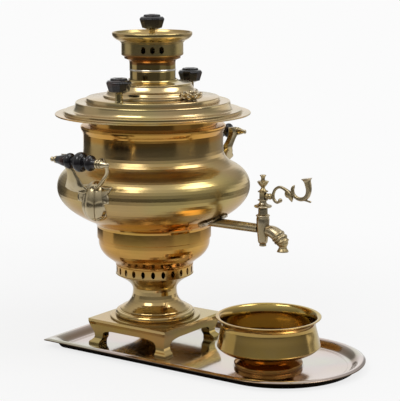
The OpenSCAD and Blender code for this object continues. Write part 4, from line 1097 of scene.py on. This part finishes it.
def spout_form():
    """The curved spout: a rod whose radius swells at the bend and flares at the mouth.

    Three rings stand up across the bend, each a ridge with a cut beyond it. At the mouth the
    rows turn back and run up inside as the bore.
    """
    rows, bore_from = 150, 90
    line = spline(SPOUT, rows)
    place = np.linspace(0.0, 1.0, rows)
    ridges = sum(hump(place, at, 0.022) - 0.9 * hump(place, at + 0.042, 0.014)
                 for at in (0.31, 0.395, 0.48))
    path = tap_path(line, TAP_Z)
    tangent = unit(np.gradient(path, axis=0))
    there_and_back = np.r_[0:rows, rows - 1:bore_from - 1:-1]
    bore = np.maximum(line[:, 2] - 1.6, 2.6)[there_and_back[rows:]]
    radius = np.concatenate([line[:, 2] * (1.0 + 0.09 * ridges), bore])[:, None]
    angle = turned(72)
    return rings(path[there_and_back], tangent[there_and_back], radius * np.cos(angle),
                 radius * np.sin(angle))


class SAMOVAR_OT_tap(bpy.types.Operator):
    """Builds the tap: pipe, barrel and spout, the key's stem and its scrolled lever"""

    bl_idname = "samovar.tap"
    bl_label = "Tap"

    def execute(self, context):
        barrel = lathe(BARREL, 72) + np.array([0.0, TAP_Y, TAP_Z])
        start, end = PIPE_ENDS
        pipe = lathe(((start, PIPE_CORE), (start, PIPE_RADIUS), (end, PIPE_RADIUS),
                      (end, PIPE_CORE)), 64)[..., [0, 2, 1]] + np.array([0.0, 0.0, TAP_Z])
        casting = [shell_of(barrel, hollow=True), shell_of(pipe), shell_of(spout_form())]
        make_piece("tap_casting", casting, "samovar", "tap_bronze", ("tap_body",))
        mouth = np.array([0.0, TAP_Y, MOUTH_Z])
        stem = lathe(STEM, 96, block_shape) + mouth
        make_piece("key_stem", [shell_of(stem)], "key", "tap_bronze", ("tap_key",))
        socket = along(lathe(SOCKET, 48), mouth + (0.0, 0.0, SOCKET_UP), (0.0, -1.0, 0.0),
                       (1.0, 0.0, 0.0))
        arc = np.linspace(0.1, 3.04, 18)
        ball = lathe(CURL_RADIUS * np.stack([-np.cos(arc), np.sin(arc)], -1), 32)
        ball = ball + mouth + (0.0, -CURL[0], CURL[1])
        forms = [socket, ball, lever_rod(SCROLL, 0.95), lever_rod(HORN, 0.95, 150, 0.12),
                 lever_rod(SPIKE, 0.9, 40), lever_rod(SIDE_LEAF, 0.7, 40)]
        make_piece("key_scroll", [shell_of(form) for form in forms], "key", "tap_bronze",
                   ("key_lever",))
        return {"FINISHED"}


# ---------------------------------------------------------------- tray

# The tray's section: (inset from its outline, height, radius of the back corners)
TRAY_UNDER = (
    (13, 0, 14), (12.2, 0.5, 14.5), (11, 3, 14), (9.8, 7, 12), (8.4, 9.6, 10), (6, 10.2, 7),
    (3, 9.8, 4), (1.6, 9, 2.6),
)
TRAY_TOP = (
    (1.4, 8.9, 2.4), (0.5, 9, 2.2), (0, 9.6, 2.2), (0.3, 10.3, 2.4), (1.4, 10.9, 3.2),
    (3, 11.6, 4.6), (4.6, 12, 6), (6.2, 11.8, 8.2), (8.2, 11, 10.8), (10.2, 9.7, 13.2),
    (12.2, 8, 15), (14.2, 6.1, 15.4), (16, 4.4, 14.6), (17.6, 3.1, 13), (19.4, 2.3, 11),
    (22.4, 2.1, 9), (23.4, 1.7, 8.4), (24.4, 1.5, 8),
)


# Most inset, height and corner radius of a row, and the middle of the floor along Y
TRAY_MOST = (30.0, 12.0, 20.0)
TRAY_MIDDLE = -60.0


def tray_loops(rows):
    """Closed loops round the tray, one for each row of (inset, height, corner radius).

    A loop is a quarter circle, the straight back, a quarter circle, a straight side, the half
    circle in front and the other side, all drawn in by the row's inset.
    """
    low, high = box_mm("tray")
    inset, height, corner = (rows[:, i:i + 1] for i in range(3))
    half, back, front = high[0] - inset, high[1] - inset, low[1] + high[0]
    quarter = np.linspace(0.0, np.pi / 2, 15)[None]
    bow = np.linspace(np.pi, 2 * np.pi, 121)[None]
    side = np.linspace(0.0, 1.0, 26)[None, 1:-1]
    rear = np.linspace(0.0, 1.0, 20)[None, 1:-1]
    inner, deep = half - corner, back - corner
    bend_x, bend_y = corner * np.cos(quarter), corner * np.sin(quarter)
    flat = np.ones_like(side)
    x = np.hstack([inner + bend_x, inner * (1 - 2 * rear), -inner - bend_y, -half * flat,
                   half * np.cos(bow), half * flat])
    y = np.hstack([deep + bend_y, back * np.ones_like(rear), deep + bend_x,
                   deep * (1 - side) + front * side, front + half * np.sin(bow),
                   front * (1 - side) + deep * side])
    return np.stack([x, y, height * np.ones_like(x)], axis=-1)


class SAMOVAR_OT_tray(bpy.types.Operator):
    """Builds the tray: a flat sheet with a step, a curved wall and a flange with a rolled edge"""

    bl_idname = "samovar.tray"
    bl_label = "Tray"

    def execute(self, context):
        rows = np.vstack([TRAY_UNDER, spline(TRAY_TOP, 90)])
        wall = tray_loops(np.clip(rows, 0.0, TRAY_MOST))
        inward = np.linspace(1.0, 0.03, 9)[1:, None, None]

        def filled(loop):
            """Loops that shrink from one to a point on the tray's middle line."""
            middle = np.array([0.0, TRAY_MIDDLE, loop[0, 2]])
            return (loop - middle) * inward + middle

        sheet = np.vstack([filled(wall[0])[::-1], wall, filled(wall[-1])])
        make_piece("tray_sheet", [shell_of(sheet)], "tray", "tray_brass", ("tray",))
        return {"FINISHED"}


# ---------------------------------------------------------------- bowl and dish

# The bowl's section from the middle of its underside out, up to the rim and back: (height, radius)
BOWL = (
    (0, 0.02), (0, 32.6), (1, 50), (2, 57), (4, 62), (6.8, 65.4), (8.6, 66.9), (9.4, 67.3),
    (10.2, 67.1), (16, 65.7), (24, 63.8), (31, 62), (35, 61.2), (38.5, 61.3), (42, 62.9),
    (45, 65.6), (46.2, 67.6), (46.8, 68.2), (47.3, 67.8), (47.4, 66.6), (47.3, 65), (46.7, 63.6),
    (45.2, 62.3), (42, 60.9), (38.6, 60), (36, 59.8), (30, 60.8), (24, 62.3), (16, 64.2),
    (10.4, 65.6), (8, 65), (5.2, 61), (3.4, 56), (2.4, 50), (1.5, 32), (1.5, 0.02),
)
# The crown's dish, from its hole out under the lip and back over it: (height, radius)
DISH = (
    (0, 27), (0, 41.6), (0.9, 43.6), (2.6, 47.3), (4.8, 50.5), (6.8, 52.3), (8.5, 53.2),
    (10, 53.4), (11.4, 53.4), (12.3, 52.9), (12.45, 52.2), (12, 51.4), (10.6, 50.8), (9, 50),
    (6.6, 47.4), (4.4, 43.5), (2.8, 38), (1.9, 33), (1.4, 30.4), (1.4, 27),
)


class SAMOVAR_OT_spun(bpy.types.Operator):
    """Builds the bowl, which narrows upwards from a sharp shoulder, and the crown's dish"""

    bl_idname = "samovar.spun"
    bl_label = "Bowl and dish"

    def execute(self, context):
        for name, node, body, slot, rows in (
            ("bowl_shell", "bowl", "bowl", "bowl_brass", BOWL),
            ("dish_shell", "crown_dish", "crown", "body_brass", DISH),
        ):
            low, high = box_mm(node)
            middle = (low + high) / 2
            profile = np.clip(spline(rows, 240), 0.0, (high[2] - low[2], (high[0] - low[0]) / 2))
            form = lathe(profile, 160) + (middle[0], middle[1], low[2])
            make_piece(name, [shell_of(form, hollow=rows is DISH)], body, slot, (node,))
        return {"FINISHED"}


# ---------------------------------------------------------------- lid and knobs

# The lid's section from its edge over the steps to the flue and back inside: (height, radius)
LID = (
    (332.5, 89.3), (337.1, 89.3), (338.1, 88.9), (338.5, 87.9), (338.5, 66.8), (338.7, 66.2),
    (340.9, 66.2), (341.5, 65.9), (341.8, 65.2), (342.2, 63.7), (343.2, 62.3), (344.8, 61.3),
    (346.3, 60.9), (346.9, 60.5), (347.2, 59.7), (347.3, 58.4), (347.9, 56.9), (349.4, 55.3),
    (351.6, 53.8), (353.8, 52.6), (354.9, 51.9), (355.3, 51.8), (355.7, 52.1), (356.9, 52.1),
    (357.4, 51.7), (357.6, 50.6), (358.1, 44), (358.4, 39), (359.4, 35.2), (360.8, 33.4),
    (362.1, 33), (362.1, 31.8), (356.9, 31.8), (355.3, 49), (349, 52.2), (346, 57.4),
    (343.2, 59.6), (340.3, 63.2), (337.1, 64.6), (337.1, 86), (335.9, 87.9), (332.5, 87.9),
)
# A knob's section from its foot up, in shares of its height and of its radius
KNOB = (
    (0, 0.02), (0, 0.42), (0.05, 0.54), (0.12, 0.8), (0.64, 1), (0.7, 1), (0.8, 0.9),
    (0.835, 0.8), (0.84, 0.66), (0.9, 0.69), (0.965, 0.62), (0.975, 0.5), (0.95, 0.44),
    (0.96, 0.3), (1, 0.24), (1, 0.02),
)
KNOB_FACES = 10


class SAMOVAR_OT_lid(bpy.types.Operator):
    """Builds the lid's moulded plate and the three faceted knobs"""

    bl_idname = "samovar.lid"
    bl_label = "Lid and knobs"

    def execute(self, context):
        plate = shell_of(lathe(LID, 240), hollow=True)
        make_piece("lid_plate", [plate], "lid", "body_brass", ("lid",), sharp=50.0)
        for node, body in (("lid_knob_left", "lid"), ("lid_knob_right", "lid"),
                           ("damper_knob", "damper")):
            low, high = box_mm(node)
            middle = (low + high) / 2
            rows = np.array(KNOB) * (high[2] - low[2], (high[0] - low[0]) / 2)
            foot = (middle[0], middle[1], low[2])
            across = (middle[0], middle[1], 0.0) if body == "lid" else (1.0, 0.0, 0.0)
            form = along(lathe(rows, KNOB_FACES), foot, (0.0, 0.0, 1.0), across)
            make_piece("faceted_" + node, [shell_of(form)], body, "black_wood", (node,),
                       sharp=15.0, bevel=0.5)
        return {"FINISHED"}


# ---------------------------------------------------------------- carried pieces


class SAMOVAR_OT_finishes(bpy.types.Operator):
    """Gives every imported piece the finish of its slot"""

    bl_idname = "samovar.finishes"
    bl_label = "Finishes"

    def execute(self, context):
        finishes = make_materials()
        for name, node in NODES.items():
            node.data.materials.clear()
            node.data.materials.append(finishes[SLOT_OF[name]])
        return {"FINISHED"}


# ---------------------------------------------------------------- panel and registration

OPERATORS = (
    SAMOVAR_OT_camera, SAMOVAR_OT_stage, SAMOVAR_OT_finishes, SAMOVAR_OT_handles, SAMOVAR_OT_tap,
    SAMOVAR_OT_tray, SAMOVAR_OT_spun, SAMOVAR_OT_lid,
)


class SAMOVAR_PT_panel(bpy.types.Panel):
    """Lists the settings and the steps"""

    bl_idname = "SAMOVAR_PT_panel"
    bl_label = "Samovar"
    bl_space_type = "VIEW_3D"
    bl_region_type = "UI"
    bl_category = "Samovar"

    def draw(self, context):
        """Draws a button for each step and a field for each setting."""
        for operator in OPERATORS:
            self.layout.operator(operator.bl_idname)
        for group in GROUPS:
            settings = getattr(context.scene, group)
            for key in settings.__annotations__:
                self.layout.prop(settings, key)


CLASSES = (*GROUPS.values(), *OPERATORS, SAMOVAR_PT_panel)


def register():
    """Registers the classes and hangs the settings on the scene."""
    for item in CLASSES:
        bpy.utils.register_class(item)
    for name, group in GROUPS.items():
        setattr(bpy.types.Scene, name, bpy.props.PointerProperty(type=group))


def unregister():
    """Takes back what register did."""
    for name in GROUPS:
        delattr(bpy.types.Scene, name)
    for item in reversed(CLASSES):
        bpy.utils.unregister_class(item)


def main():
    """Runs every step in order."""
    register()
    for operator in OPERATORS:
        family, call = operator.bl_idname.split(".")
        getattr(getattr(bpy.ops, family), call)()


if __name__ == "__main__":
    main()
